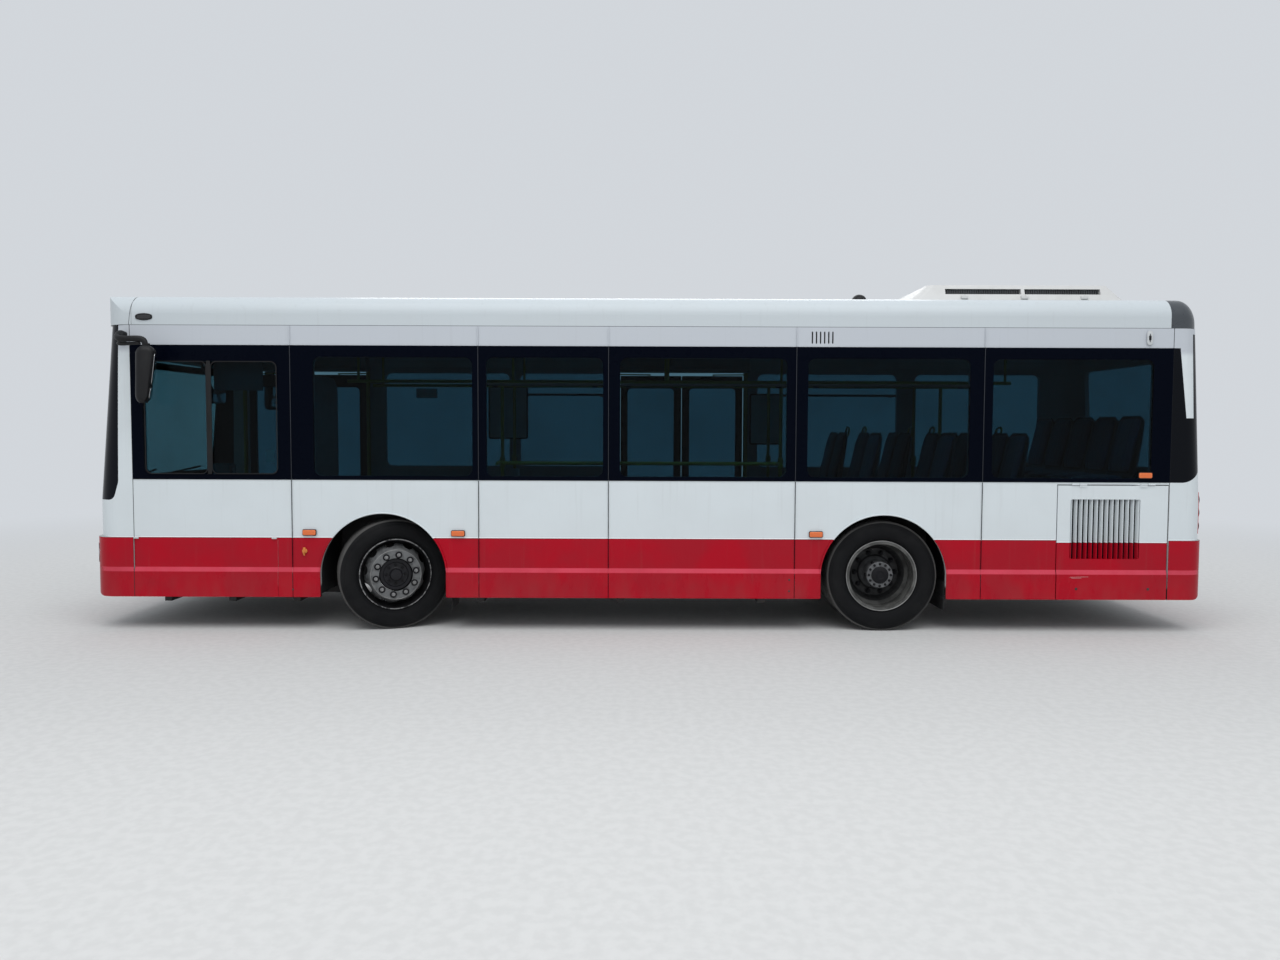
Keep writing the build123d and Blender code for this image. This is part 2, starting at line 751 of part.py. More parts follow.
def front_wheel(middle):
    """Front wheel: rim, disc pressed outwards with its hand holes, and hub."""
    face = middle + 88
    seat_radius = rim_radius - 7
    disc = turned(
        [
            (48, face), (212, face), (232, face - 30), (seat_radius, face - 48),
            (seat_radius, face - 62), (224, face - 46), (204, face - 14), (48, face - 14),
        ],
        [0, 14, 14, 0, 0, 8, 8, 0],
    )
    for i in range(hand_holes):
        angle = radians((i + 0.5) * 360 / hand_holes)
        disc -= rod(hand_hole_circle * cos(angle), hand_hole_circle * sin(angle), face - 90, hand_hole_radius, 120)
    hub = turned(
        [
            (48, face - 60), (138, face - 60), (138, face + 8), (118, face + 30), (70, face + 40),
            (70, face + 58), (0, face + 58), (0, face + 20), (48, face + 20),
        ],
        [0, 0, 10, 14, 0, 6, 0, 0, 0],
    )
    return rim(middle) + disc + hub


def rear_wheels(outer_middle):
    """Twin rear wheels: two rims, two dished discs back to back, and the drive hub."""
    middle = outer_middle - twin_spacing / 2
    dish = twin_spacing / 2 - rim_width / 2 + 40
    seat_radius = rim_radius - 7
    pieces = []
    for centre, way in ((outer_middle, 1), (outer_middle - twin_spacing, -1)):
        pieces.append(rim(centre))
        pieces.append(turned([
            (90, middle), (210, middle), (236, middle + way * 30), (seat_radius, middle + way * dish),
            (seat_radius, middle + way * (dish + 16)), (226, middle + way * 52),
            (204, middle + way * 14), (90, middle + way * 14),
        ]))
    pieces.append(turned(
        [
            (54, middle - 120), (150, middle - 120), (150, middle + 14), (132, middle + 40),
            (112, middle + 70), (112, middle + 215), (0, middle + 215), (0, middle + 180), (54, middle + 180),
        ],
        [0, 0, 0, 10, 20, 10, 0, 0, 0],
    ))
    return join(pieces)


def knuckle_fork(stub_length):
    """Steering knuckle: fork round the beam's end, kingpin, stub axle and steering arm."""
    fork = block(-50, 50, -50, 50, 72, 112) + block(-50, 50, -50, 50, -112, -72)
    fork += block(-50, 50, 50, 84, -112, 112)
    fork += rod(0, 0, -72, 24, 144)
    fork += rod(0, 80, 0, 48 - pin_gap, stub_length, (0, 1, 0))
    return fork + block(-230, -40, -20, 20, -108, -88)


def build_wheels():
    """Wheels, tyres and steering knuckles at their places."""
    front_middle = wheel_outer_y - kingpin_y - tyre_width / 2
    outer_middle = wheel_outer_y - tyre_width / 2
    for name, side, steer in (("left", 1, steer_rest_left), ("right", -1, steer_rest_right)):
        station = Pos(front_axle_x, side * kingpin_y, tyre_radius) * Rot(0, 0, steer)
        spot = station * Rot(-90 * side, 0, 0)
        save(f"front_{name}_tyre", spot * tyre(front_middle))
        save(f"front_{name}_wheel", spot * front_wheel(front_middle))
        fork = knuckle_fork(front_middle + 23)
        save(f"front_{name}_knuckle", station * Rot(0, 0, 0 if side > 0 else 180) * fork)
        spot = Pos(rear_axle_x, 0, tyre_radius) * Rot(-90 * side, 0, 0)
        save(f"rear_{name}_tyres", spot * group([tyre(outer_middle), tyre(outer_middle - twin_spacing)]))
        save(f"rear_{name}_wheels", spot * rear_wheels(outer_middle))


def door_places():
    """Leaf by leaf: name, jamb, direction into the doorway, post, pivot and half width of the doorway."""
    places = []
    for name, x0, x1 in DOORWAYS:
        half = (x1 - x0) / 2
        for end, jamb, way in (("rear", x0, 1), ("front", x1, -1)):
            post_x = jamb - way * post_setback
            pivot_x = post_x + way * (half + post_setback - door_meeting_gap / 2) / 2
            places.append((f"{name}_{end}", jamb, way, post_x, pivot_x, half))
    return places


def door_leaf(near, far, pivot_x, y0, y1):
    """One leaf: a frame rebated for its pane, with pin holes at mid length and a grab rail across."""
    low, high = door_bottom_z + door_pane_margin, door_top_z - door_pane_head
    x0, x1 = min(near, far) + door_stile, max(near, far) - door_stile
    leaf = block(near, far, y0, y1, door_bottom_z, door_top_z)
    leaf -= across(frame_outline(x0, x1, low, high, door_pane_corner), y0 - 5, y1 + 5)
    leaf -= across(frame_outline(x0 - 14, x1 + 14, low - 14, high + 14, door_pane_corner + 10), y0 - 1, y0 + glass)
    for z in (door_bottom_z - 1, door_top_z - door_pin_length - pin_gap):
        leaf -= rod(pivot_x, leaf_y, z, door_pin_radius + pin_gap, door_pin_length + 2 * pin_gap)
    reach = y1 + grab_rail_reach
    leaf += tube_run(
        [(x0 - 12, y1 - 4, grab_rail_z), (x0 - 12, reach, grab_rail_z), (x1 + 12, reach, grab_rail_z),
         (x1 + 12, y1 - 4, grab_rail_z)],
        grab_rail_radius, 22,
    )
    pane = across(frame_outline(x0 - 12, x1 + 12, low - 12, high + 12, door_pane_corner + 8), y0, y0 + glass - 0.5)
    return leaf, pane


def door_post(post_x, pivot_x):
    """One post with its two arms, which end in pins that carry the leaf at mid length."""
    arm_angle = degrees(atan2(leaf_y - post_y, pivot_x - post_x))
    length = hypot(leaf_y - post_y, pivot_x - post_x)
    post = rod(post_x, post_y, floor_z + post_end_gap, post_radius, header_z - floor_z - 2 * post_end_gap)
    arm_low = door_bottom_z - door_arm_clearance - door_arm_thickness
    arm_high = door_top_z + door_arm_clearance
    pin_reach = door_pin_length + door_arm_thickness
    for z, pin_z in ((arm_low, arm_low), (arm_high, arm_high - door_pin_length)):
        post += Pos(post_x, post_y, z + door_arm_thickness / 2) * Rot(0, 0, arm_angle) * (
            Pos(length / 2, 0, 0) * Box(length, door_arm_width, door_arm_thickness)
        )
        post += rod(pivot_x, leaf_y, z, door_arm_width / 2, door_arm_thickness)
        post += rod(pivot_x, leaf_y, pin_z, door_pin_radius, pin_reach)
    return post


def build_doors():
    """Leaves, panes and posts, the bearings at the posts' feet, and the casings over the doorways."""
    y0, y1 = leaf_y - door_leaf_thickness / 2, leaf_y + door_leaf_thickness / 2
    gear = []
    for _, x0, x1 in DOORWAYS:
        inner = -(half_inner - casing_depth)
        section = outline(
            [(-half_inner, casing_z), (inner + 40, casing_z), (inner, casing_z + 60), (inner, cove_z - 11),
             (-half_inner, cove_z - 11)],
            [0, 20, 30, 10, 0],
        )
        gear.append(along(section, x0 - casing_margin, x1 + casing_margin - 8))
    for name, jamb, way, post_x, pivot_x, half in door_places():
        near = post_x + way * post_to_leaf
        far = jamb + way * (half - door_meeting_gap / 2)
        leaf, pane = door_leaf(near, far, pivot_x, y0, y1)
        save(f"{name}_leaf", leaf)
        save(f"{name}_glass", pane)
        save(f"{name}_post", door_post(post_x, pivot_x))
        bore = post_radius + bearing_gap
        gear = [casing - rod(post_x, post_y, casing_z - 1, bore, header_z - casing_z + 1) for casing in gear]
    for *_, post_x, _, _ in door_places():
        collar = rod(post_x, post_y, floor_z, post_radius + 7, 7)
        gear.append(collar - rod(post_x, post_y, floor_z - 1, post_radius + bearing_gap, 20))
    save("door_gear", group(gear))


def seat():
    """One seat: cushion and back as a moulded side profile, trimmed to rounded corners from the front."""
    profile = outline(
        [(-210, 0), (210, 0), (222, 62), (-140, 78), (-262, 600), (-312, 590), (-222, 40)],
        [10, 20, 28, 50, 24, 22, 20],
    )
    half = seat_width / 2
    front_view = outline([(-half, -1), (half, -1), (half, 610), (-half, 610)], [30, 30, 85, 85])
    return across(profile, -half, half) & along(front_view, -330, 240)


def build_seats():
    """Pairs of seats on beams, and the bench across the rear."""
    one = seat()
    beam_half_x = 35
    # Rows of pairs: middle of the cushions along X, and the level on which the beam or its leg stands
    rows = [
        (rear_axle_x + 290, box_top_z, box_top_z),
        (rear_axle_x - 330, box_top_z, box_top_z),
        (bench_x + 390, podium_z, box_top_z),
    ]
    pieces = []
    for x, foot_z, beam_z in rows:
        cushion_z = beam_z + seat_rise
        for _, side in sides:
            middle = side * pair_middle_y
            reach = (seat_width + seat_pitch) / 2
            pair = block(x - beam_half_x, x + beam_half_x, middle - reach, middle + reach, beam_z, cushion_z)
            if foot_z < beam_z:
                pair += block(x - beam_half_x, x + beam_half_x, middle - 30, middle + 30, foot_z, beam_z)
            for k in (-1, 1):
                pair += Pos(x, middle + k * seat_pitch / 2, cushion_z) * one
            pieces.append(pair)
    bench_seat_x = bench_x - 580
    pitch = (2 * half_inner - seat_width - 60) / 4
    bench = block(bench_seat_x - 210, bench_seat_x + 190, 60 - half_inner, half_inner - 60, bench_z, bench_z + 161)
    for k in range(-2, 3):
        bench += Pos(bench_seat_x, k * pitch, bench_z + 160) * one
    pieces.append(bench)
    save("passenger_seats", group(pieces))
    stand_z = floor_z + platform_rise
    chair = Pos(front_joint_x - 924, cab_y, stand_z + 420) * one
    chair += block(front_joint_x - 1034, front_joint_x - 814, cab_y - 100, cab_y + 100, stand_z, stand_z + 421)
    chair += block(front_joint_x - 1244, front_joint_x - 1194, cab_y - 110, cab_y + 110, stand_z + 960,
                   stand_z + 1180)
    save("driver_seat", chair)


def partition_rear_x():
    """Rear face of the cab partition, at the joint behind the driver's window."""
    return front_axle_x + partition_x - deck


def build_cab():
    """Dashboard, steering wheel, partition behind the driver, and destination box."""
    dash_x = front_joint_x
    dash = across(
        outline(
            [
                (dash_x - 274, floor_z + 150), (dash_x + 166, floor_z + 150), (dash_x + 206, 1000),
                (dash_x + 30, 1120), (dash_x - 130, 1120), (dash_x - 230, 1180), (dash_x - 290, 1150),
                (dash_x - 314, 980),
            ],
            [0, 20, 60, 30, 20, 30, 20, 20],
        ),
        60, half_inner - 33,
    )
    save("dashboard", dash)
    hub = Plane(origin=(dash_x - 474, cab_y, 1180), z_dir=(-0.35, 0, 1))
    ring = hub * Torus(225, 16)
    for angle in (0, 120, 240):
        ring += hub * Rot(0, 0, angle) * Pos(112, 0, -8) * Box(225, 36, 14)
    ring += hub * Pos(0, 0, -30) * Cylinder(60, 60)
    ring += Plane(origin=(dash_x - 474, cab_y, 1180), z_dir=(0.35, 0, -1)) * Pos(0, 0, 180) * Cylinder(30, 330)
    save("steering_wheel", ring - dash)
    face = outline(
        [(200, floor_z), (half_inner - 8, floor_z), (half_inner - 8, rail_z + 30), (200, rail_z + 30)],
        [0, 0, 0, 160],
    )
    save("cab_partition", along(face, partition_rear_x(), partition_rear_x() + 30))
    sign = across(
        outline(
            [(front_joint_x - 40, cove_z - 5), (front_joint_x - 20, cove_z - 240),
             (front_joint_x + 190, cove_z - 240), (front_joint_x + 175, cove_z - 5)],
            [0, 30, 20, 0],
        ),
        -700, 700,
    )
    save("destination_box", sign & upper_hull(wall + 5))


def headlamp_zone(side, gap=0):
    """Space of one headlamp, widened all round by a gap."""
    y0, y1 = half_body - 475, half_body - 85
    return block(front_x - 350 - gap, front_x + 100, side * (y0 - gap), side * (y1 + gap), 560 - gap, 720 + gap)


def tail_lamp_zone(side, gap=0):
    """Space of one tail lamp cluster, widened all round by a gap."""
    y0, y1 = half_body - 245, half_body - 95
    return block(rear_x - 100, rear_x + 140 + gap, side * (y0 - gap), side * (y1 + gap), 830 - gap, 1180 + gap)


def build_lamps():
    """Head and tail lamps, which stand a little proud of the body."""
    proud, head_depth, tail_depth = 4, 30, 20
    heads = [(lower_hull(-proud) - lower_hull(head_depth)) & headlamp_zone(side) for _, side in sides]
    tails = [(upper_hull(-proud) - upper_hull(tail_depth)) & tail_lamp_zone(side) for _, side in sides]
    save("headlamps", group(heads))
    save("tail_lamps", group(tails))


def build_mirrors():
    """Outside mirrors on swept arms from the front corners."""
    head_low_z, head_high_z = roof_height - 940, roof_height - 480
    front, rear = front_x - 569, front_x - 735
    root_x, root_z = front_joint_x + 36, roof_height - 372
    hull = upper_hull()
    heads = []
    for _, side in sides:
        face = outline(
            [(front, head_low_z), (front - 30, head_high_z), (rear + 5, head_high_z - 15), (rear + 10, head_low_z + 34)],
            [40, 40, 30, 30],
        )
        y = side * (half_wall + 200)
        top = head_high_z + 60
        arm = tube_run(
            [(root_x, side * (half_wall - 20), root_z), (root_x, y, top), (front - 90, y, top),
             (front - 90, y, head_high_z - 20)],
            16, 40,
        )
        arm += rod(root_x, side * (half_wall - 20), root_z, 30, 32, (0, side, 0))
        heads.append(across(face, side * (half_wall + 90), side * (half_wall + 290)) + (arm - hull))
    save("mirrors", group(heads))


def engine_front_x():
    """Front face of the engine and gearbox."""
    return flap_front_x + 6


def engine_half_y(side):
    """Reach of the engine and gearbox to one side."""
    return 400 if side > 0 else 430


def build_machinery():
    """Engine and gearbox as one plain block, exhaust, and air tanks."""
    front = engine_front_x()
    engine = block(front - 1000, front, -engine_half_y(-1), engine_half_y(1), 380, 1000)
    engine = fillet(engine.edges().filter_by(Axis.X), 60)
    save("engine_block", engine)
    pipe, can_radius, can_z = 35, 130, 480
    can_y = -(engine_half_y(-1) + 370)
    can_front, can_rear = front - 100, front - 880
    can = rod(can_rear, can_y, can_z, can_radius, can_front - can_rear, (1, 0, 0))
    can = fillet(can.edges(), 20)
    can += tube_run([(can_front - 20, can_y, can_z), (front - 40, can_y, can_z), (front - 40, -430, can_z)], pipe, 50)
    can += tube_run(
        [(can_rear + 20, can_y, can_z), (can_rear - 70, can_y, can_z), (can_rear - 200, can_y, skirt_z - 46),
         (rear_x + 60, can_y, skirt_z - 46)],
        pipe, 60,
    )
    for x in (can_rear + 120, can_front - 120):
        can += block(x - 20, x + 20, can_y + can_radius - 20, -570, can_z + 20, podium_z - deck)
    save("exhaust", can)
    tank_radius, tank_length, dome = 105, 560, 45
    tank_x, tank_z = (rear_axle_x - box_half - box_wall - 60 + bench_x) / 2, podium_z - deck - 130
    shell = rod(-tank_length / 2, 0, 0, tank_radius, tank_length, (1, 0, 0))
    shell = fillet(shell.edges(), dome)
    tanks = []
    for _, side in sides:
        tank = Pos(tank_x, side * 780, tank_z) * shell
        for x in (tank_x - 160, tank_x + 160):
            tank += block(x - 20, x + 20, side * 720, side * 840, tank_z, podium_z - deck)
        tanks.append(tank)
    save("air_tanks", group(tanks))


def build_rails():
    """Ceiling rails on hangers, the rail along the standing area, and the stanchions."""
    window_rail_y, window_rail_z = half_inner - 213, 1400
    ceiling_z = roof_height - roof_wall - 40
    rails = []
    for _, side in sides:
        run = rod(bench_x + 20, side * rail_y, rail_z, rail_radius, front_axle_x + 505 - bench_x - 20, (1, 0, 0))
        for x in (front_axle_x + 405, front_axle_x - 995, rear_axle_x + 1788, rear_axle_x + 638, bench_x + 70):
            run += rod(x, side * rail_y, rail_z, 12, ceiling_z - rail_z)
        rails.append(run)
    x0, x1 = rear_axle_x + 838, front_axle_x - 915
    low = rod(x0, window_rail_y, window_rail_z, rail_radius, x1 - x0, (1, 0, 0))
    for x in (x0 + 30, (x0 + x1) / 2, x1 - 30):
        low += rod(x, window_rail_y, window_rail_z, 12, half_inner - window_rail_y, (0, 1, 0))
    save("handrails", group(rails + [low]))
    # Stanchions: x, and the floor on which they stand
    places = [
        (front_axle_x - 895, floor_z),
        (step_x + 65, floor_z),
        (rear_axle_x - box_half - box_wall - 96, podium_z),
    ]
    posts = []
    for x, foot in places:
        for _, side in sides:
            posts.append(rod(x, side * rail_y, foot, rail_radius, rail_z - rail_radius - foot))
    save("stanchions", group(posts))


def main():
    """Build every sub-part and write its file."""
    os.makedirs("parts", exist_ok=True)
    build_sides()
    build_front()
    build_rear()
    build_roof()
    build_floor()
    build_axles()
    build_wheels()
    build_doors()
    build_seats()
    build_cab()
    build_lamps()
    build_mirrors()
    build_machinery()
    build_rails()


main()
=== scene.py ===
"""City bus: finishes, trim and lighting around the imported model, in metres."""

import logging
from dataclasses import dataclass, field
from enum import Enum
from functools import cache
from math import degrees, pi, radians
from typing import Iterable

import bpy
import numpy as np
from mathutils import Matrix, Vector
from mathutils.bvhtree import BVHTree


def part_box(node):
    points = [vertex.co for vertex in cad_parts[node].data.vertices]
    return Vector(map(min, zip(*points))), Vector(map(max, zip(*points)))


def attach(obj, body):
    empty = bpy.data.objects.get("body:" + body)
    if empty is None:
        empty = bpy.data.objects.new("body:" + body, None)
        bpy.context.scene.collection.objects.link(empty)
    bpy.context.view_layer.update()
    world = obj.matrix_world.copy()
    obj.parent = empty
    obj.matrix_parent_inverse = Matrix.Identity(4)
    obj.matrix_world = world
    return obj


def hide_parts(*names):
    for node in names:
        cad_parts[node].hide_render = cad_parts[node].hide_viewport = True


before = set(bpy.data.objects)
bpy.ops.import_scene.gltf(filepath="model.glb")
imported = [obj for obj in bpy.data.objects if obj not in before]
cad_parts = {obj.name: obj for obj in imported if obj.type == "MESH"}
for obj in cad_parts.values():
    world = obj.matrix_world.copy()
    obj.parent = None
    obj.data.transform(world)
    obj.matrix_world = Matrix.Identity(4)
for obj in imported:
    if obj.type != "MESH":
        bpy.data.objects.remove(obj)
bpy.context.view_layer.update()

Array = np.ndarray
Colour = Point = tuple[float, float, float]
Rows = tuple[tuple[float, ...], ...]
LOG = logging.getLogger("city_bus")

# Levels and places shared by several pieces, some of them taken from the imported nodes
(_, INNER_Y, BAND_Z), (_, WALL_Y, COVE_Z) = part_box("left_side_wall")
(_, _, SKIRT_Z), (_, BODY_Y, _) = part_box("skirts")
BELT_Z, GLASS_TOP_Z = 1.263, 2.378
LEDGE_LOW_Z, LEDGE_HIGH_Z = 0.489, 0.531
AXLES_X = FRONT_AXLE_X, REAR_AXLE_X = 2.195, -1.988
AXLE_Z = 0.465
PANEL_JOINTS_X = (2.95, 1.394, 0.313, -1.243, -2.8)
NOSE_JOINT_X, TAIL_JOINT_X = 4.274, -4.361
ARCH_CENTRE_Z = 0.4562
FLANKS = (1.0, -1.0)


class Side(Enum):
    """Sides that a piece drawn on the left is made for."""

    LEFT = 1
    RIGHT = -1
    BOTH = 0


class Axis(Enum):
    """Axis of the bus that a shape is turned about."""

    X = 0
    Y = 1
    Z = 2


class Look(Enum):
    """Direction of a line that is cast at the bus from outside."""

    BACK = (-1.0, 0.0, 0.0)
    AHEAD = (1.0, 0.0, 0.0)
    FROM_LEFT = (0.0, -1.0, 0.0)
    DOWN = (0.0, 0.0, -1.0)


def unit(rows: Array) -> Array:
    """Rows scaled to length one."""
    return rows / np.maximum(np.linalg.norm(rows, axis=-1, keepdims=True), 1e-12)


def turn_matrix(axis: Axis, turn: float) -> Array:
    """3 by 3 matrix of a turn in degrees about an axis, counter-clockwise seen from its positive end."""
    return np.array(Matrix.Rotation(radians(turn), 3, axis.name))


def vertices(mesh: bpy.types.Mesh) -> Array:
    """Places of a mesh's vertices, one a row."""
    flat = np.empty(len(mesh.vertices) * 3)
    mesh.vertices.foreach_get("co", flat)
    return flat.reshape(-1, 3)


def linked(name: str, data: bpy.types.ID) -> bpy.types.Object:
    """A new object of that data, in the scene."""
    thing = bpy.data.objects.new(name, data)
    bpy.context.scene.collection.objects.link(thing)
    return thing


@dataclass
class Surface:
    """Points and faces of one or more closed sheets."""

    points: Array
    quads: Array
    caps: list[tuple[int, ...]] = field(default_factory=list)

    def placed(self, offset: Point = (0.0, 0.0, 0.0), matrix: Array = np.eye(3)) -> "Surface":
        """The surface turned or mirrored by a matrix, its faces outwards, then shifted by an offset."""
        way = 1 if np.linalg.det(matrix) > 0 else -1
        caps = [cap[::way] for cap in self.caps]
        return Surface(self.points @ matrix.T + offset, self.quads[:, ::way], caps)

    def mirrored(self) -> "Surface":
        """The surface on the bus's other side."""
        return self.placed(matrix=np.diag([1.0, -1.0, 1.0]))

    def mesh(self, name: str) -> bpy.types.Mesh:
        """A new mesh of the surface."""
        mesh = bpy.data.meshes.new(name)
        mesh.from_pydata(self.points.tolist(), [], self.quads.tolist() + [list(cap) for cap in self.caps])
        return mesh


def joined(surfaces: Iterable[Surface]) -> Surface:
    """Several surfaces as one, whose faces count on through the points of all.

    Args:
        surfaces: the surfaces, in order.

    Returns:
        One surface with all their sheets.
    """
    parts = list(surfaces)
    starts = np.cumsum([0] + [len(part.points) for part in parts]).tolist()
    return Surface(np.concatenate([part.points for part in parts]),
                   np.concatenate([part.quads + start for part, start in zip(parts, starts)]),
                   [tuple(i + start for i in cap) for part, start in zip(parts, starts) for cap in part.caps])


def skin(rings: Iterable[Array], caps: bool = True) -> Surface:
    """Quads between successive closed rings of points.

    Point (i, j) is joined to (i + 1, j) and to (i, j + 1), the last of a ring to its first.

    Args:
        rings: rings of equal length, counter-clockwise seen from the last one.
        caps: whether the first and last rings are filled.

    Returns:
        The surface, its faces outwards.
    """
    grid = np.asarray(rings)
    count, around = grid.shape[:2]
    i, j = np.meshgrid(np.arange(count - 1), np.arange(around), indexing="ij")
    k = (j + 1) % around
    quads = np.stack([i * around + j, i * around + k, (i + 1) * around + k, (i + 1) * around + j], -1)
    ends = [tuple(range(around))[::-1], tuple(range((count - 1) * around, count * around))]
    return Surface(grid.reshape(-1, 3), quads.reshape(-1, 4), ends if caps else [])


def stood(flat: Array, level: float, axis: Axis = Axis.Y) -> Array:
    """Points of a plane, put into space with one more coordinate along an axis."""
    return np.insert(flat, axis.value, level, axis=1)


def round_axis(radius: Array, along: Array, angle: Array) -> Array:
    """Points about the Y axis: radius r at angle a goes to (r sin a, along, r cos a)."""
    return np.stack([radius * np.sin(angle), along + 0 * angle, radius * np.cos(angle)], -1)


def full_turn(steps: int) -> Array:
    """Angles of a full turn, the last one left out."""
    return np.linspace(0, 2 * pi, steps, endpoint=False)


def rounded_rectangle(width: float, height: float, radius: float, steps: int = 5) -> Array:
    """Points round a rectangle with quarter-circle corners, about the corners moved inwards by the radius.

    Args:
        width: size along the first axis.
        height: size along the second axis.
        radius: corner radius.
        steps: steps of each corner.

    Returns:
        The points, counter-clockwise round the origin.
    """
    angles = np.concatenate([np.linspace(k * pi / 2, (k + 1) * pi / 2, steps + 1) for k in range(4)])
    sign_u, sign_v = np.repeat([1, -1, -1, 1], steps + 1), np.repeat([1, 1, -1, -1], steps + 1)
    return np.stack([sign_u * (width / 2 - radius) + radius * np.cos(angles),
                     sign_v * (height / 2 - radius) + radius * np.sin(angles)], -1)


def plate(width: float, height: float, depth: float, radius: float, edge: float = 0.0,
          steps: int = 5) -> Surface:
    """Plate from Y = 0 to its depth, with rounded corners and rounded front and back edges.

    Ring by ring the outline shrinks by edge * (1 - sin t) while it climbs by edge * (1 - cos t).

    Args:
        width: size along X.
        height: size along Z.
        depth: thickness.
        radius: corner radius.
        edge: radius of the rounded edges.
        steps: steps of each corner.

    Returns:
        The closed plate, its face towards +Y.
    """
    turns = np.linspace(0, pi / 2, 4) if edge > 0 else np.array([pi / 2])
    insets, climbs = edge * (1 - np.sin(turns)), edge * (1 - np.cos(turns))
    layers = [*zip(insets, climbs), *zip(insets[::-1], depth - climbs[::-1])]
    flats = [rounded_rectangle(width - 2 * inset, height - 2 * inset, max(radius - inset, 1e-4), steps)
             for inset, _ in layers]
    return skin([stood(flat * [-1, 1], level) for flat, (_, level) in zip(flats, layers)])


def frame_ring(width: float, height: float, radius: float, band: float, depth: float) -> Surface:
    """Flat frame round a rounded opening: a box section carried round it.

    Args:
        width: the opening's width.
        height: the opening's height.
        radius: the opening's corner radius.
        band: the frame's width.
        depth: the frame's thickness, along Y.

    Returns:
        The closed frame.
    """
    inner = rounded_rectangle(width, height, radius, 6)
    outer = rounded_rectangle(width + 2 * band, height + 2 * band, radius + band, 6)
    loop = ((inner, 0.0), (inner, depth), (outer, depth), (outer, 0.0), (inner, 0.0))
    return skin([stood(flat, level) for flat, level in loop], caps=False)


def print_band(width: float, height: float, hole: tuple[float, ...], radius: float) -> Surface:
    """Film, half a millimetre thick, that fills a centred rectangle round a rounded hole.

    Each point of the hole's edge is joined to the rectangle's corner of its quarter.

    Args:
        width: rectangle's width.
        height: rectangle's height.
        hole: low X, high X, low Z and high Z of the hole.
        radius: hole's corner radius.

    Returns:
        The closed film, facing +Y.
    """
    x0, x1, z0, z1 = hole
    inner = rounded_rectangle(x1 - x0, z1 - z0, radius, 8) + [(x0 + x1) / 2, (z0 + z1) / 2]
    corners = np.array([[width, height], [-width, height], [-width, -height], [width, -height]]) / 2
    outer = np.repeat(corners, 9, axis=0)
    loop = ((outer, 0.0), (inner, 0.0), (inner, -0.0005), (outer, -0.0005), (outer, 0.0))
    flipped = skin([stood(flat * [-1, 1], level) for flat, level in loop], caps=False)
    return flipped.placed(matrix=np.diag([-1.0, 1.0, 1.0]))


def turned(profile: Iterable, around: int = 48, closed: bool = False) -> Surface:
    """Surface of revolution about the Y axis.

    Args:
        profile: rows of radius and place along the axis, along +Y outside.
        around: steps of a full turn.
        closed: whether the profile is a loop.

    Returns:
        The surface, open at its ends where their radius isn't zero.
    """
    rows = np.asarray(profile, float)
    rows = np.vstack([rows, rows[:1]]) if closed else rows
    return skin(round_axis(rows[:, :1], rows[:, 1:], full_turn(around)), caps=False)


def smooth_path(points: list[Point], per_span: int = 8) -> Array:
    """Catmull-Rom curve: between two points, a cubic that leaves and arrives along their neighbours' chord.

    Args:
        points: points that the curve runs through.
        per_span: steps between two of them.

    Returns:
        The curve's points.
    """
    p = np.asarray(points, float)
    p = np.vstack([2 * p[0] - p[1], p, 2 * p[-1] - p[-2]])
    t = np.linspace(0, 1, per_span, endpoint=False)[:, None]
    spans = [0.5 * (2 * b + (c - a) * t + (2 * a - 5 * b + 4 * c - d) * t**2 + (3 * b - a - 3 * c + d) * t**3)
             for a, b, c, d in zip(p[:-3], p[1:-2], p[2:-1], p[3:])]
    return np.vstack(spans + [p[-2:-1]])


def tube_rings(path: Array, side: Array, lift: Array, radius: Array, around: int, squash: float) -> Array:
    """Circles carried along a path by its side and lift directions."""
    angle = full_turn(around)[None, :, None]
    return path[:, None] + radius * (np.cos(angle) * side[:, None] - squash * np.sin(angle) * lift[:, None])


def swept(path: Array, radius: float | Array, around: int = 10, squash: float = 1.0) -> Surface:
    """Closed tube along a path: a circle carried by the path's tangent, side and up directions.

    Args:
        path: points along the middle.
        radius: one radius, or one for each point.
        around: points round the tube.
        squash: the circle's second radius over its first.

    Returns:
        The closed tube.
    """
    path = np.asarray(path, float)
    tangent = unit(np.gradient(path, axis=0))
    side = unit(np.cross(tangent, (0.0, 0.0, 1.0) if abs(tangent[0, 2]) < 0.9 else (0.0, 1.0, 0.0)))
    r = np.broadcast_to(np.asarray(radius, float), len(path))[:, None, None]
    return skin(tube_rings(path, side, np.cross(side, tangent), r, around, squash))


def looped(path: Array, radius: float, around: int = 8) -> Surface:
    """Closed tube round a loop: a circle carried by the loop's tangent.

    Args:
        path: points of the loop, the first one not repeated.
        radius: the tube's radius.
        around: points round the tube.

    Returns:
        The closed tube.
    """
    tangent = unit(np.roll(path, -1, 0) - np.roll(path, 1, 0))
    normal = unit(np.cross(path[1] - path[0], path[len(path) // 3] - path[0]))
    side = unit(np.cross(tangent, np.broadcast_to(normal, tangent.shape)))
    rings = tube_rings(path, side, np.cross(side, tangent), radius, around, 1.0)
    return skin(np.concatenate([rings, rings[:1]]), caps=False)


def bar(start: Point, end: Point, radius: float, around: int = 10) -> Surface:
    """Straight round bar between two points."""
    return swept(np.linspace(start, end, 3), radius, around)


def block(low: Point, high: Point, edge: float = 0.004) -> Surface:
    """Block with softened edges.

    Args:
        low: one corner.
        high: the opposite corner.
        edge: radius of the edges.

    Returns:
        The closed block.
    """
    low, high = np.minimum(low, high), np.maximum(low, high)
    size, middle = high - low, (low + high) / 2
    return plate(size[0], size[2], size[1], edge * 1.01, edge, 2).placed((middle[0], low[1], middle[2]))


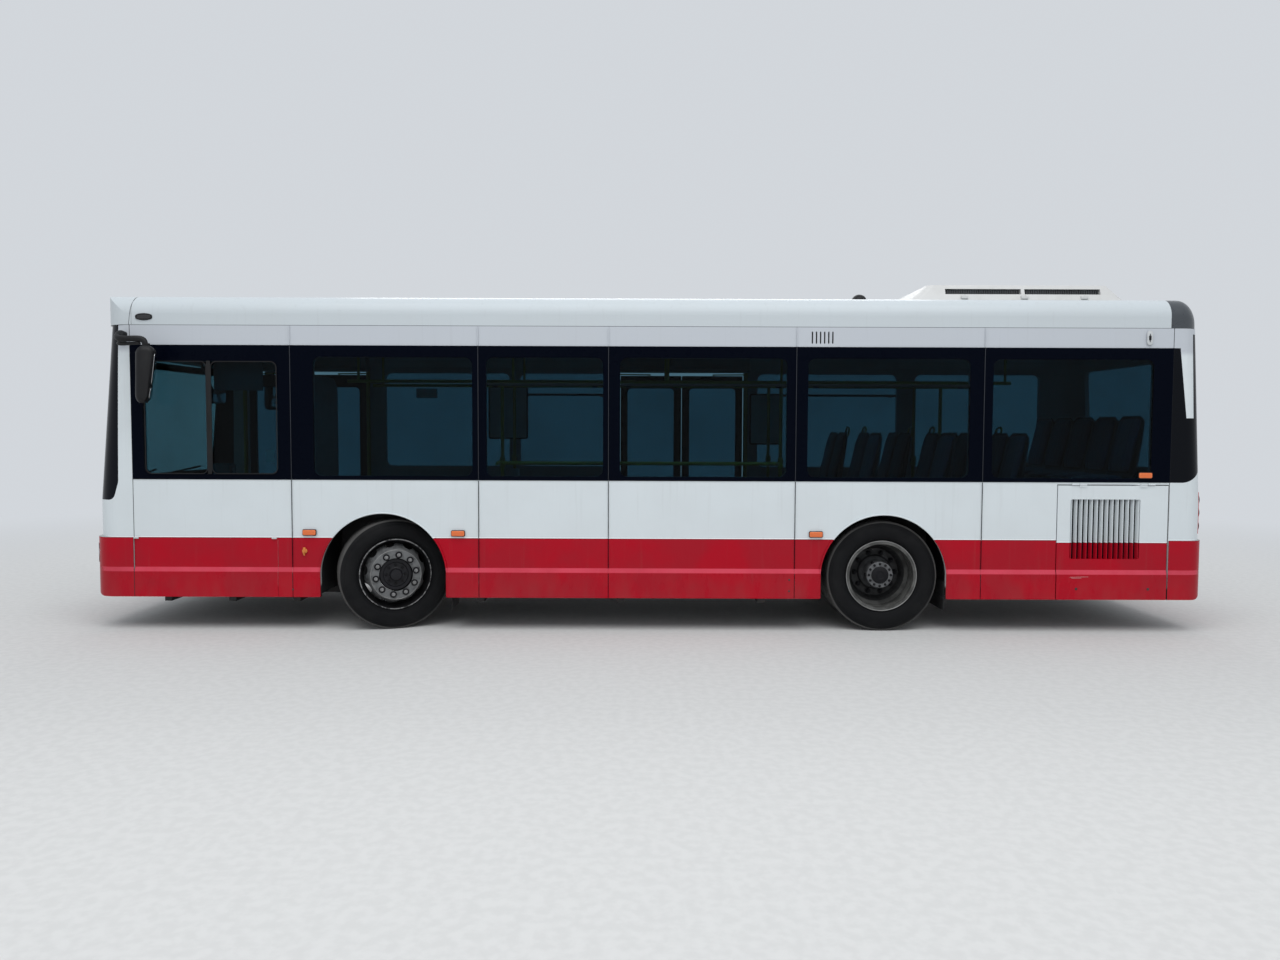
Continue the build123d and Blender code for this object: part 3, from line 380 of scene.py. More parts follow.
def cuboid(x: float, y: float, z: float, half_x: float, half_y: float, half_z: float, edge: float) -> Surface:
    """Block about a middle point."""
    return block((x - half_x, y - half_y, z - half_z), (x + half_x, y + half_y, z + half_z), edge)


def ringed(surface: Surface, count: int, radius: float, phase: float = 0.0) -> Surface:
    """Copies of a surface spaced evenly round the Y axis, the first one turned by the phase in radians."""
    lifted = surface.placed((0.0, 0.0, radius))
    return joined(lifted.placed(matrix=turn_matrix(Axis.Y, degrees(phase + 2 * pi * k / count)))
                  for k in range(count))


def nut(radius: float, height: float) -> Surface:
    """Hexagon nut on a round flange, its axis along +Y, with the stud's end standing out of it.

    Args:
        radius: the hexagon's radius over its corners.
        height: the hexagon's height.

    Returns:
        Nut, flange and stud.
    """
    rows = ((radius, 0.0), (radius, 0.86 * height), (0.86 * radius, height))
    hexagon = skin([round_axis(r, y, np.arange(6) * pi / 3) for r, y in rows])
    flange = turned([(0.0, 0.0), (1.3 * radius, 0.0), (1.3 * radius, 0.1 * height), (0.0, 0.2 * height)], 20)
    stud = turned([(0.0, height), (0.6 * radius, height), (0.6 * radius, 1.3 * height),
                   (0.45 * radius, 1.4 * height), (0.0, 1.4 * height)], 16)
    return joined([hexagon, flange, stud])


@cache
def tree(node: str) -> BVHTree:
    """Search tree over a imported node's faces."""
    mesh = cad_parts[node].data
    return BVHTree.FromPolygons(vertices(mesh).tolist(), [tuple(p.vertices) for p in mesh.polygons])


def hit(node: str, place: Point, look: Look) -> tuple[Array, Array]:
    """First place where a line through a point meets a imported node, coming from outside.

    Args:
        node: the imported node.
        place: a point of the line, at 0 along the line's own axis.
        look: the line's direction.

    Returns:
        The place, and the skin's unit normal there.

    Raises:
        ValueError: if the line misses the node.
    """
    found, normal, _, _ = tree(node).ray_cast(Vector(place) - 6.0 * Vector(look.value), Vector(look.value))
    if found is None:
        raise ValueError(f"{node} isn't met at {place}")
    return np.array(found), np.array(normal)


def laid(surface: Surface, node: str, place: Point, look: Look, lift: float = 0.0) -> Surface:
    """A surface whose face is +Y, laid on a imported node's skin where a line meets it.

    Its Y axis goes to the skin's normal and its Z axis stays as upright as it can.

    Args:
        surface: the surface, drawn round the origin.
        node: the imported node.
        place: a point of the line, at 0 along the line's own axis.
        look: the line's direction.
        lift: distance off the skin.

    Returns:
        The placed surface.
    """
    found, normal = hit(node, place, look)
    across = unit(np.cross(normal, (0.0, 0.0, 1.0) if abs(normal[2]) < 0.9 else (0.0, 1.0, 0.0)))
    return surface.placed(found + lift * normal, np.stack([across, normal, np.cross(across, normal)], 1))


@dataclass
class Wire:
    """Number, vector or colour that shader nodes work out; sums on it add Math nodes."""

    graph: "Graph"
    socket: bpy.types.NodeSocket

    def __add__(self, other: "Value") -> "Wire":
        """Sum."""
        return self.graph.math("ADD", self, other)

    def __sub__(self, other: "Value") -> "Wire":
        """Difference."""
        return self.graph.math("SUBTRACT", self, other)

    def __rsub__(self, other: "Value") -> "Wire":
        """Difference from a number."""
        return self.graph.math("SUBTRACT", other, self)

    def __mul__(self, other: "Value") -> "Wire":
        """Product."""
        return self.graph.math("MULTIPLY", self, other)

    def __or__(self, other: "Value") -> "Wire":
        """Larger of the two."""
        return self.graph.math("MAXIMUM", self, other)

    def __abs__(self) -> "Wire":
        """Size without its sign."""
        return self.graph.math("ABSOLUTE", self)

    def mad(self, factor: "Value", offset: "Value") -> "Wire":
        """The number times a factor plus an offset."""
        return self.graph.math("MULTIPLY_ADD", self, factor, offset)


Value = Wire | float | Colour


class Graph:
    """Shader nodes of one material, each made by a short call."""

    def __init__(self, name: str) -> None:
        """Start an empty material of that name."""
        self.material = bpy.data.materials.new(name)
        self.material.use_nodes = True
        self.tree = self.material.node_tree
        self.tree.nodes.clear()
        self.output = self.tree.nodes.new("ShaderNodeOutputMaterial")
        self.coords = self.out("TexCoord", output="Object")
        self.normal = self.out("NewGeometry", output="True Normal")
        self.x, self.y, self.z = (self.out("SeparateXYZ", {0: self.coords}, k) for k in range(3))

    def feed(self, socket: bpy.types.NodeSocket, value: Value) -> None:
        """Link a wire to a node's input or set the input, a colour with its alpha."""
        if isinstance(value, Wire):
            self.tree.links.new(value.socket, socket)
        else:
            socket.default_value = (*value, 1.0) if socket.type == "RGBA" else value

    def out(self, kind: str, inputs: dict | None = None, output: int | str = 0, **settings) -> Wire:
        """A new node's output.

        Args:
            kind: the node's type name, after ShaderNode.
            inputs: socket name or number to a value or wire.
            output: the output's name or number.
            **settings: the node's own properties.

        Returns:
            The output's wire.
        """
        node = self.tree.nodes.new("ShaderNode" + kind)
        for key, value in settings.items():
            setattr(node, key, value)
        for key, value in (inputs or {}).items():
            self.feed(node.inputs[key], value)
        return Wire(self, node.outputs[output])

    def math(self, kind: str, a: Value, b: Value = 0.0, c: Value = 0.0) -> Wire:
        """Result of one sum."""
        return self.out("Math", {0: a, 1: b, 2: c}, operation=kind)

    def vector(self, kind: str, a: Value, b: Value = (0.0, 0.0, 0.0), output: str = "Vector") -> Wire:
        """Result of one sum on vectors."""
        return self.out("VectorMath", {0: a, 1: b}, output, operation=kind)

    def dot(self, a: Value, b: Value) -> Wire:
        """Dot product of two vectors."""
        return self.vector("DOT_PRODUCT", a, b, "Value")

    def axis_distance(self, centre: Point, axis: Point) -> Wire:
        """Distance from a straight line through a centre: the length of a cross product."""
        arm = self.vector("SUBTRACT", self.coords, centre)
        return self.vector("LENGTH", self.vector("CROSS_PRODUCT", arm, axis), output="Value")

    def sloped(self, value: Wire, x0: float, y0: float, x1: float, y1: float) -> Wire:
        """Straight-line function of a value that is y0 at x0 and y1 at x1."""
        slope = (y1 - y0) / (x1 - x0)
        return value.mad(slope, y0 - slope * x0)

    def step(self, value: Wire, low: float, high: float) -> Wire:
        """0 below low, 1 above high, and smooth between; turned round where low is above high."""
        return self.out("MapRange", {"Value": value, "From Min": low, "From Max": high},
                        interpolation_type="SMOOTHSTEP")

    def edge(self, value: Wire, place: float, soft: float) -> Wire:
        """Step at a place over a soft distance to both sides, falling where that is negative."""
        return self.step(value, place - soft, place + soft)

    def band(self, value: Wire, low: float, high: float, soft: float) -> Wire:
        """1 between low and high and 0 outside, over a soft edge."""
        return self.edge(value, low, soft) * self.edge(value, high, -soft)

    def noise(self, scale: float, detail: float = 3.0, stretch: Point = (1, 1, 1), low: float = 0.35,
              high: float = 0.65) -> Wire:
        """Cloudy pattern from 0 to 1.

        Args:
            scale: how many blotches a metre.
            detail: octaves of finer blotches.
            stretch: scale along each axis.
            low: noise level that gives 0.
            high: noise level that gives 1.

        Returns:
            The pattern.
        """
        place = self.out("Mapping", {"Vector": self.coords, "Scale": stretch})
        return self.step(self.out("TexNoise", {"Vector": place, "Scale": scale, "Detail": detail}), low, high)

    def mix(self, factor: Value, a: Value, b: Value) -> Wire:
        """Colour between a and b."""
        return self.out("Mix", {0: factor, 6: a, 7: b}, 2, data_type="RGBA")

    def shader(self, colour: Value, roughness: Value = 0.5, metallic: float = 0.0, coat: float = 0.0,
               bump: Wire | None = None, depth: float = 0.001, **sockets: float) -> Wire:
        """Principled shader.

        Args:
            colour: base colour.
            roughness: roughness.
            metallic: 0 to 1.
            coat: weight of the clear coat.
            bump: height pattern, or None.
            depth: the pattern's depth in metres.
            **sockets: more sockets by name, with underscores for spaces.

        Returns:
            The shader.
        """
        inputs = {"Base Color": colour, "Roughness": roughness, "Metallic": metallic, "Coat Weight": coat,
                  "Coat Roughness": 0.08}
        inputs |= {name.replace("_", " "): value for name, value in sockets.items()}
        if bump is not None:
            inputs["Normal"] = self.out("Bump", {"Height": bump, "Strength": 1.0, "Distance": depth})
        return self.out("BsdfPrincipled", inputs)

    def ends(self, shader: Wire) -> bpy.types.Material:
        """The material, with that shader as its surface."""
        self.feed(self.output.inputs[0], shader)
        return self.material

    def surface(self, *args: Value, **options: Value) -> bpy.types.Material:
        """The material with one Principled shader, described as for shader."""
        return self.ends(self.shader(*args, **options))


def scaled(colour: Colour, factor: float) -> Colour:
    """A colour times a factor."""
    return tuple(factor * c for c in colour)


# Colours of the bus, as linear light
# The second and third colours here are painted shade: a darker grey for the fascia, which faces a little
# downwards, and a darker white for the roof, set against the light of the lamp above.
WHITE, SHADED_FASCIA_GREY, SHADED_ROOF_WHITE = (0.66, 0.71, 0.73), (0.5, 0.53, 0.57), (0.53, 0.575, 0.6)
# The second colour here is a painted highlight: the bright line along the top of the red.
DULL_WHITE, PAINTED_HIGHLIGHT_WHITE = (0.5, 0.52, 0.52), (0.88, 0.9, 0.92)
# The third colour here is a painted highlight: the lighter red of the ledge's bevel, which faces up.
RED, DEEP_RED, PAINTED_HIGHLIGHT_RED = (0.415, 0.0025, 0.0145), (0.36, 0.007, 0.018), (0.62, 0.062, 0.1)
LINING, WORN_LINING = (0.46, 0.47, 0.47), (0.34, 0.34, 0.33)
WRAP_BLACK, JOINT_BLACK, UNDERSIDE = (0.0008, 0.0015, 0.0035), (0.022, 0.023, 0.025), (0.018, 0.018, 0.019)
ROAD_DUST = (0.16, 0.14, 0.12)


@dataclass(frozen=True)
class BodyPaint:
    """Gloss paint: white over red, lining inside, road dust low down, black in the wheel arches, painted
    shade on the fascia and roof, and painted highlights along the colour line and the ledge.
    """

    name: str = "body_paint"
    lined: bool = True
    wrap: bool = False
    band_z: float = BAND_Z
    arch_radius: float = 0.5334
    slot: str = "white_paint"

    def make(self) -> bpy.types.Material:
        """Paint whose colour follows the height, with the lining on faces that look inwards.

        Returns:
            The material.
        """
        g = Graph(self.name)
        # Painted shade: the fascia band and the roof take darker greys than the wall white.
        white = g.mix(g.step(g.z, 2.3, 2.36), WHITE, g.mix(g.edge(g.z, COVE_Z, 0.002), SHADED_FASCIA_GREY, SHADED_ROOF_WHITE))
        white = g.mix(g.noise(2.5, 4.0) * 0.1, white, DULL_WHITE)
        # Painted highlight: a thin bright line on the flanks just above the colour line.
        painted_highlight_line = g.band(g.z, self.band_z + 0.001, self.band_z + 0.008, 0.001) * self.flank(g)
        white = g.mix(painted_highlight_line, white, PAINTED_HIGHLIGHT_WHITE)
        # Painted highlight: lighter red on the ledge's upward bevel, weakened a little by noise.
        ledge_highlight = g.band(g.z, 0.493, 0.53, 0.0025) * self.flank(g) * g.noise(4.0, 3.0).mad(-0.2, 0.95)
        red = g.mix(ledge_highlight, g.mix(g.noise(3.0, 3.0), RED, DEEP_RED), PAINTED_HIGHLIGHT_RED)
        paint = g.mix(g.edge(g.z, self.band_z, 0.0015), red, white)
        dust = g.step(g.z, 0.62, 0.27) * g.noise(9.0, 6.0, (1, 1, 0.35), 0.3, 0.7) * 0.1
        streak = g.noise(30.0, 3.0, (1, 1, 0.04), 0.56, 0.74) * 0.05
        paint = g.mix(dust | streak, paint, ROAD_DUST)
        if self.wrap:
            paint = g.mix(self.rear_wrap(g), paint, WRAP_BLACK)
        paint = g.mix(self.arches(g), g.mix(self.lines(g), paint, JOINT_BLACK), UNDERSIDE)
        squeezed = g.vector("MULTIPLY", g.vector("SUBTRACT", g.coords, (0.0, 0.0, 1.6)), (0.25, 1.0, 0.9))
        inwards = g.step(g.dot(squeezed, g.normal), 0.02, -0.02) * float(self.lined)
        lining = g.mix(g.step(g.z, 0.4, 0.36), LINING, UNDERSIDE)
        lining = g.mix(g.noise(5.0, 4.0) * 0.12, lining, WORN_LINING)
        return g.surface(g.mix(inwards, paint, lining), inwards.mad(0.3, dust.mad(0.9, 0.26)), coat=0.04,
                         bump=g.noise(240.0, 1.0), depth=0.00003, Specular_IOR_Level=0.11)

    def flank(self, g: Graph) -> Wire:
        """1 on the sides, fading out round the corners."""
        return g.step(abs(g.y), 1.12, 1.158)

    def lines(self, g: Graph) -> Wire:
        """1 in the narrow joints: colour line, cove, nose, tail, and the roof's slanted nose joint."""
        below = g.edge(g.z, COVE_Z, -0.001)
        nose = g.x - g.sloped(g.z, 2.741, 4.255, 2.529, 4.281)
        found = (g.band(g.z, self.band_z - 0.0022, self.band_z + 0.0008, 0.0005)
                 | g.band(g.z, COVE_Z - 0.0016, COVE_Z + 0.0016, 0.0006))
        for x in (NOSE_JOINT_X, TAIL_JOINT_X):
            found = found | below * g.band(g.x, x - 0.0026, x + 0.0026, 0.0006)
        return found | (1.0 - below) * g.band(nose, -0.002, 0.002, 0.0006)

    def arches(self, g: Graph) -> Wire:
        """1 on the cut edges of the wheel arches, which lie on a circle round each arch's centre."""
        reach = [g.axis_distance((x, 0.0, ARCH_CENTRE_Z), (0.0, 1.0, 0.0)) for x in AXLES_X]
        front, rear = (g.math("LESS_THAN", r, self.arch_radius) for r in reach)
        return front | rear

    def rear_wrap(self, g: Graph) -> Wire:
        """1 on the black glazed wrap of the rear, 0 on its white pillars and corners.

        The wrap runs from the belt to the top of the side glass, and behind the pillars to just under the
        cove. Its lower edge curves up round the corner. Above 1.80 m a white pillar on each corner, narrower
        below than above, interrupts it.

        Args:
            g: the paint's nodes.

        Returns:
            The mask.
        """
        back = -4.46 - g.x
        low = ((back | 0.0) * back).mad(3.2, BELT_Z)
        ahead = g.edge(g.x - g.sloped(g.z, 2.494, -4.528, 1.8, -4.552), 0.0, 0.002)
        top = ahead.mad(GLASS_TOP_Z - 2.494, 2.494)
        whole = g.edge(g.z - low, 0.0, 0.002) * g.edge(g.z - top, 0.0, -0.002)
        behind = g.edge(g.x - g.sloped(g.z, GLASS_TOP_Z, -4.417, 1.8, -4.484), 0.0, -0.002)
        return whole * (1.0 - behind * ahead * g.edge(g.z, 1.8, 0.002))


@dataclass(frozen=True)
class Plain:
    """Moulded or painted finish with a fine grain and a slow change of colour."""

    name: str
    colour: Colour
    roughness: float = 0.5
    metallic: float = 0.0
    coat: float = 0.0
    grain: float = 400.0
    depth: float = 0.0001
    wear: Colour = (0.12, 0.11, 0.1)
    worn: float = 0.12
    shine: float = 0.5
    slot: str = "black_plastic"

    def make(self) -> bpy.types.Material:
        """Colour that wears in patches, on a grained skin."""
        g = Graph(self.name)
        colour = g.mix(g.noise(7.0, 5.0, low=0.45, high=0.75) * self.worn, self.colour, self.wear)
        return g.surface(colour, g.noise(13.0, 3.0).mad(0.1, self.roughness - 0.05), self.metallic, self.coat,
                         g.noise(self.grain, 2.0), self.depth, Specular_IOR_Level=self.shine)


@dataclass(frozen=True)
class Pane:
    """Tinted safety glass, clear to lamps' rays so that the cabin is lit."""

    name: str = "tinted_glass"
    tint: Colour = (0.088, 0.188, 0.238)
    bend: float = 1.16

    def make(self) -> bpy.types.Material:
        """The glass alone."""
        g = Graph(self.name)
        return self.lit(g, self.glass(g))

    def glass(self, g: Graph) -> Wire:
        """Clear shader whose tint deepens a little where a film of dust lies."""
        dusty = g.mix(g.noise(3.0, 5.0, low=0.4, high=0.8), self.tint, scaled(self.tint, 0.86))
        return g.shader(dusty, 0.0, Transmission_Weight=1.0, IOR=self.bend)

    def lit(self, g: Graph, shader: Wire) -> bpy.types.Material:
        """The material, which lets shadow rays through with half of the tint."""
        clear = g.out("BsdfTransparent", {"Color": tuple(c**0.5 for c in self.tint)})
        shadow = g.out("LightPath", output="Is Shadow Ray")
        return g.ends(g.out("MixShader", {0: shadow, 1: shader, 2: clear}))


@dataclass(frozen=True)
class Windscreen(Pane):
    """Laminated windscreen with its black printed border and the band under the destination display."""

    name: str = "windscreen_glass"
    tint: Colour = (0.3, 0.44, 0.45)
    screen_z: tuple[float, float] = (1.26, 2.235)
    display_z: tuple[float, float] = (2.3, 2.515)
    half_y: float = 1.02
    display_half_y: float = 0.7

    def make(self) -> bpy.types.Material:
        """Glass in the screen and the display's opening, black print round them."""
        g = Graph(self.name)
        screen = g.band(g.z, *self.screen_z, 0.004) * g.edge(abs(g.y), self.half_y, -0.004)
        display = g.band(g.z, *self.display_z, 0.003) * g.edge(abs(g.y), self.display_half_y, -0.003)
        black = g.shader((0.003, 0.004, 0.007), g.noise(120.0, 2.0).mad(0.05, 0.1), Specular_IOR_Level=0.12)
        return self.lit(g, g.out("MixShader", {0: screen | display, 1: black, 2: self.glass(g)}))


@dataclass(frozen=True)
class FloorFinish:
    """Flecked vinyl on top, black underneath and towards the wheels."""

    name: str
    wheel_side: bool = False
    vinyl: Colour = (0.1, 0.11, 0.125)
    fleck: Colour = (0.3, 0.31, 0.33)
    soiled: Colour = (0.16, 0.15, 0.14)

    def make(self) -> bpy.types.Material:
        """Vinyl where the face looks up and away from the nearest wheel."""
        g = Graph(self.name)
        top = g.mix(g.noise(260.0, 1.0, low=0.6, high=0.68), self.vinyl, self.fleck)
        top = g.mix(g.noise(4.0, 5.0, low=0.5, high=0.8) * 0.35, top, self.soiled)
        under = g.step(g.dot(g.normal, (0.0, 0.0, 1.0)), -0.3, -0.5)
        if self.wheel_side:
            half, middle = (FRONT_AXLE_X - REAR_AXLE_X) / 2, (FRONT_AXLE_X + REAR_AXLE_X) / 2
            near_x = g.math("SIGN", g.x).mad(half, middle)
            wheel = g.out("CombineXYZ", {0: near_x, 1: g.math("SIGN", g.y) * 1.05, 2: AXLE_Z})
            under = under | g.step(g.dot(g.vector("SUBTRACT", g.coords, wheel), g.normal), 0.01, -0.01)
        return g.surface(g.mix(under, top, UNDERSIDE), 0.55, bump=g.noise(900.0, 2.0), depth=0.0002)


@dataclass(frozen=True)
class Moquette:
    """Woven seat cloth: crossed threads, small flecks of two blues, and wear where people sit."""

    name: str = "seat_moquette"
    ground: Colour = (0.012, 0.024, 0.075)
    fleck: Colour = (0.045, 0.12, 0.19)
    shade: Colour = (0.004, 0.007, 0.02)
    worn: Colour = (0.05, 0.055, 0.075)
    thread: float = 1900.0
    slot: str = "seat_fabric"

    def make(self) -> bpy.types.Material:
        """Product of two sines as the weave, over the flecked ground."""
        g = Graph(self.name)
        weave = (g.math("SINE", (g.x + g.z) * self.thread)
                 * g.math("SINE", (g.y + g.z * 0.5) * self.thread))
        colour = g.mix(g.noise(95.0, 1.0, (1.0, 2.6, 1.0), 0.58, 0.64) * 0.75, self.ground, self.fleck)
        colour = g.mix(weave.mad(0.1, 0.1), colour, self.shade)
        colour = g.mix(g.noise(6.0, 5.0, low=0.45, high=0.8) * 0.2, colour, self.worn)
        return g.surface(colour, 0.88, bump=weave, depth=0.0004, Sheen_Weight=0.35, Sheen_Roughness=0.5)


@dataclass(frozen=True)
class WheelFinish:
    """Painted wheel: hub, disc, darker barrel and worn flange, by distance from the wheel's axis."""

    name: str
    centre: Point
    axis: Point
    disc: Colour
    barrel: Colour
    flange: Colour
    hub: Colour
    barrel_radius: float
    flange_radius: float = 0.291
    hub_radius: float = 0.139
    slot: str = "wheel_steel"

    def make(self) -> bpy.types.Material:
        """Each zone's paint, darkened by its own grime."""
        g = Graph(self.name)
        reach = g.axis_distance(self.centre, self.axis)
        grime = g.noise(22.0, 6.0, low=0.4, high=0.7)
        disc = g.mix(grime, self.disc, scaled(self.disc, 0.55))
        barrel = g.mix(g.noise(11.0, 6.0, low=0.38, high=0.62), self.barrel, scaled(self.barrel, 0.5))
        flange = g.mix(g.noise(40.0, 4.0, low=0.4, high=0.65), self.flange, self.barrel)
        hub = g.mix(grime, self.hub, scaled(self.hub, 1.6))
        colour = g.mix(g.edge(reach, self.hub_radius, 0.001), hub, disc)
        colour = g.mix(g.edge(reach, self.barrel_radius, 0.003), colour, barrel)
        colour = g.mix(g.step(reach, self.flange_radius - 0.002, self.flange_radius + 0.001), colour, flange)
        return g.surface(colour, grime.mad(0.2, 0.4), 0.12, bump=g.noise(180.0, 4.0), depth=0.0003,
                         Specular_IOR_Level=0.3)


@dataclass(frozen=True)
class TyreFinish:
    """Tyre rubber, grey with dust on the sidewall, darker where the tread has rubbed."""

    name: str
    centre: Point
    axis: Point
    rubber: Colour = (0.0045, 0.0048, 0.0057)
    dusty: Colour = (0.0115, 0.0115, 0.012)
    scuffed: Colour = (0.085, 0.083, 0.08)
    slot: str = "tyre_rubber"

    def make(self) -> bpy.types.Material:
        """Rubber by distance from the axis, with fine rings round it."""
        g = Graph(self.name)
        reach = g.axis_distance(self.centre, self.axis)
        patches = g.noise(6.0, 6.0, low=0.35, high=0.7)
        colour = g.mix(patches * g.step(reach, 0.29, 0.43) * 0.7, self.rubber, self.dusty)
        colour = g.mix(g.step(reach, 0.446, 0.452) * patches.mad(-0.3, 0.95), colour, self.scuffed)
        rings = g.out("TexNoise", {"Vector": g.out("CombineXYZ", {0: reach}), "Scale": 160.0, "Detail": 2.0})
        return g.surface(colour, 0.72, bump=rings.mad(0.5, g.noise(500.0, 2.0)), depth=0.0005,
                         Specular_IOR_Level=0.16)


Finish = BodyPaint | Plain | Pane | FloorFinish | Moquette | WheelFinish | TyreFinish


@cache
def material(finish: Finish) -> bpy.types.Material:
    """The material of a finish, made at its first use."""
    return finish.make()


PAINT = BodyPaint()
REAR_PAINT = BodyPaint("rear_paint", wrap=True)
FLAP_PAINT = BodyPaint("flap_paint", lined=False, band_z=BAND_Z - 0.02)
HATCH_PAINT = BodyPaint("hatch_paint", lined=False)
LIP_PAINT = BodyPaint("lip_paint", lined=False, arch_radius=0.52)
PANE, SCREEN, MOQUETTE = Pane(), Windscreen(), Moquette()
HEADLAMP_GLASS = Pane("headlamp_glass", (0.9, 0.93, 0.95), 1.12)
VINYL, BOX_VINYL = FloorFinish("floor_vinyl"), FloorFinish("wheel_box_vinyl", True)
BROWN_WEAR, GREY_WEAR = (0.02, 0.018, 0.016), (0.03, 0.03, 0.03)
BLACK_PRINT = Plain("black_print", (0.001, 0.002, 0.0058), 0.3, worn=0.0, depth=0.0, shine=0.03)
BLACK_TRIM = Plain("black_trim", (0.008, 0.008, 0.009), 0.5, wear=GREY_WEAR, shine=0.25)
RUBBER = Plain("seal_rubber", (0.01, 0.01, 0.011), 0.62, grain=700, wear=(0.04, 0.038, 0.035))
DARK_STEEL = Plain("dark_steel", (0.045, 0.043, 0.042), 0.6, 0.2, wear=BROWN_WEAR, worn=0.6,
                   slot="chassis_steel")
CHASSIS = Plain("chassis_black", (0.012, 0.012, 0.012), 0.6, wear=(0.05, 0.045, 0.04), worn=0.4,
                slot="chassis_steel")
CAP_GREY = Plain("cap_grey", (0.042, 0.049, 0.057), 0.32, coat=0.2, worn=0.05, wear=(0.07, 0.08, 0.09),
                 slot="dark_panel")
POD_SHELL = Plain("pod_shell", (0.58, 0.58, 0.57), 0.45, worn=0.2, wear=(0.38, 0.37, 0.35), slot="pod_shell")
SLOT_GREY = Plain("slot_grey", (0.06, 0.064, 0.07), 0.6, worn=0.3, wear=GREY_WEAR, grain=90)
SEAT_SHELL = Plain("seat_shell", (0.03, 0.034, 0.042), 0.4)
RAIL_PAINT = Plain("rail_paint", (0.5, 0.36, 0.03), 0.35, coat=0.3, worn=0.05, slot="rail_steel")
PANEL_GREY = Plain("panel_grey", (0.2, 0.21, 0.22), 0.5, worn=0.15, slot="grey_panel")
SEAM_GREY = Plain("seam_grey", (0.03, 0.034, 0.042), 0.5, worn=0.2, wear=(0.05, 0.05, 0.05), shine=0.2)
NOTICE = Plain("blank_notice", (0.62, 0.66, 0.64), 0.5, worn=0.05, slot="white_paint")
CHROME = Plain("bright_metal", (0.7, 0.71, 0.72), 0.12, 1.0, worn=0.02, depth=0.0, slot="lamp_lens")
DISPLAY = Plain("dark_display", (0.006, 0.006, 0.007), 0.25, coat=0.5, worn=0.0, grain=700, slot="dark_panel")
SAFETY_YELLOW = Plain("safety_yellow", (0.62, 0.42, 0.02), 0.5, worn=0.25, slot="rail_steel")
NUT_STEEL = Plain("nut_steel", (0.24, 0.24, 0.24), 0.42, 0.2, grain=260, wear=(0.09, 0.08, 0.07), worn=0.4,
                  slot="cast_iron")
HUB_IRON = Plain("hub_iron", (0.006, 0.006, 0.008), 0.55, grain=120, wear=BROWN_WEAR, worn=0.4, shine=0.2,
                 slot="cast_iron")
RIM_EDGE = Plain("rim_edge", (0.22, 0.22, 0.215), 0.4, 0.3, wear=(0.05, 0.045, 0.04), worn=0.6,
                 slot="wheel_steel")
LEVER_ORANGE = Plain("lever_orange", (0.62, 0.2, 0.035), 0.4, worn=0.4, wear=(0.2, 0.05, 0.01),
                     slot="rail_steel")
LENS_ORANGE = Plain("orange_lens", (0.75, 0.16, 0.03), 0.2, coat=0.6, worn=0.0, depth=0.0, slot="red_lens")
LENS_RED = Plain("red_lens", (0.5, 0.012, 0.01), 0.2, coat=0.6, worn=0.0, depth=0.0, slot="red_lens")
LENS_CLEAR = Plain("clear_lens", (0.62, 0.64, 0.66), 0.12, 0.3, 0.8, worn=0.0, depth=0.0, slot="red_lens")
LINING_PANEL = Plain("lining_panel", (0.48, 0.49, 0.49), 0.5, worn=0.1, grain=150, slot="grey_panel")
DIFFUSER = Plain("light_diffuser", (0.72, 0.73, 0.74), 0.35, worn=0.0, grain=90, slot="lamp_lens")
BLIND = Plain("blind_film", (0.06, 0.075, 0.08), 0.6, worn=0.1, slot="grey_panel")
SCRATCH = Plain("scratched_paint", (0.62, 0.4, 0.4), 0.6, worn=0.5, slot="red_paint")
BUTTON_GREEN = Plain("button_green", (0.02, 0.2, 0.06), 0.35, coat=0.4, worn=0.0, slot="red_lens")
FASCIA_TRIM = Plain("fascia_trim", (0.52, 0.54, 0.55), 0.35, coat=0.3, worn=0.1, slot="grey_panel")
ALLOY = Plain("alloy_trim", (0.55, 0.56, 0.57), 0.3, 1.0, worn=0.1)


class Part:
    """Sub-assembly: makes pieces from surfaces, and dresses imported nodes."""

    def piece(self, name: str, shapes: Surface | Iterable[Surface], finish: Finish, body: str = "body",
              side: Side = Side.LEFT, slot: str = "", replaces: tuple[str, ...] = ()) -> bpy.types.Object:
        """Make one piece, shaded smooth below 35 degrees, and hang it on its body.

        Args:
            name: the piece's name.
            shapes: its surface or surfaces, at their place on the left side.
            finish: its finish.
            body: the body that it rides on.
            side: the side that it is made for, or both.
            slot: the record's material slot, where it isn't the finish's usual one; it is not used.
            replaces: nodes that it stands for.

        Returns:
            The object.
        """
        whole = shapes if isinstance(shapes, Surface) else joined(shapes)
        if side is not Side.LEFT:
            whole = whole.mirrored() if side is Side.RIGHT else joined([whole, whole.mirrored()])
        mesh = whole.mesh(name)
        mesh.validate()
        mesh.materials.append(material(finish))
        mesh.shade_smooth()
        mesh.set_sharp_from_angle(angle=radians(35))
        thing = linked(name, mesh)
        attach(thing, body)
        if replaces:
            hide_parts(*replaces)
        LOG.info("%s on %s", name, body)
        return thing

    def dress(self, finish: Finish, *nodes: str) -> None:
        """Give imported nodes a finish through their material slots."""
        for node in nodes:
            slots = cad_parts[node].data.materials
            slots.clear()
            slots.append(material(finish))


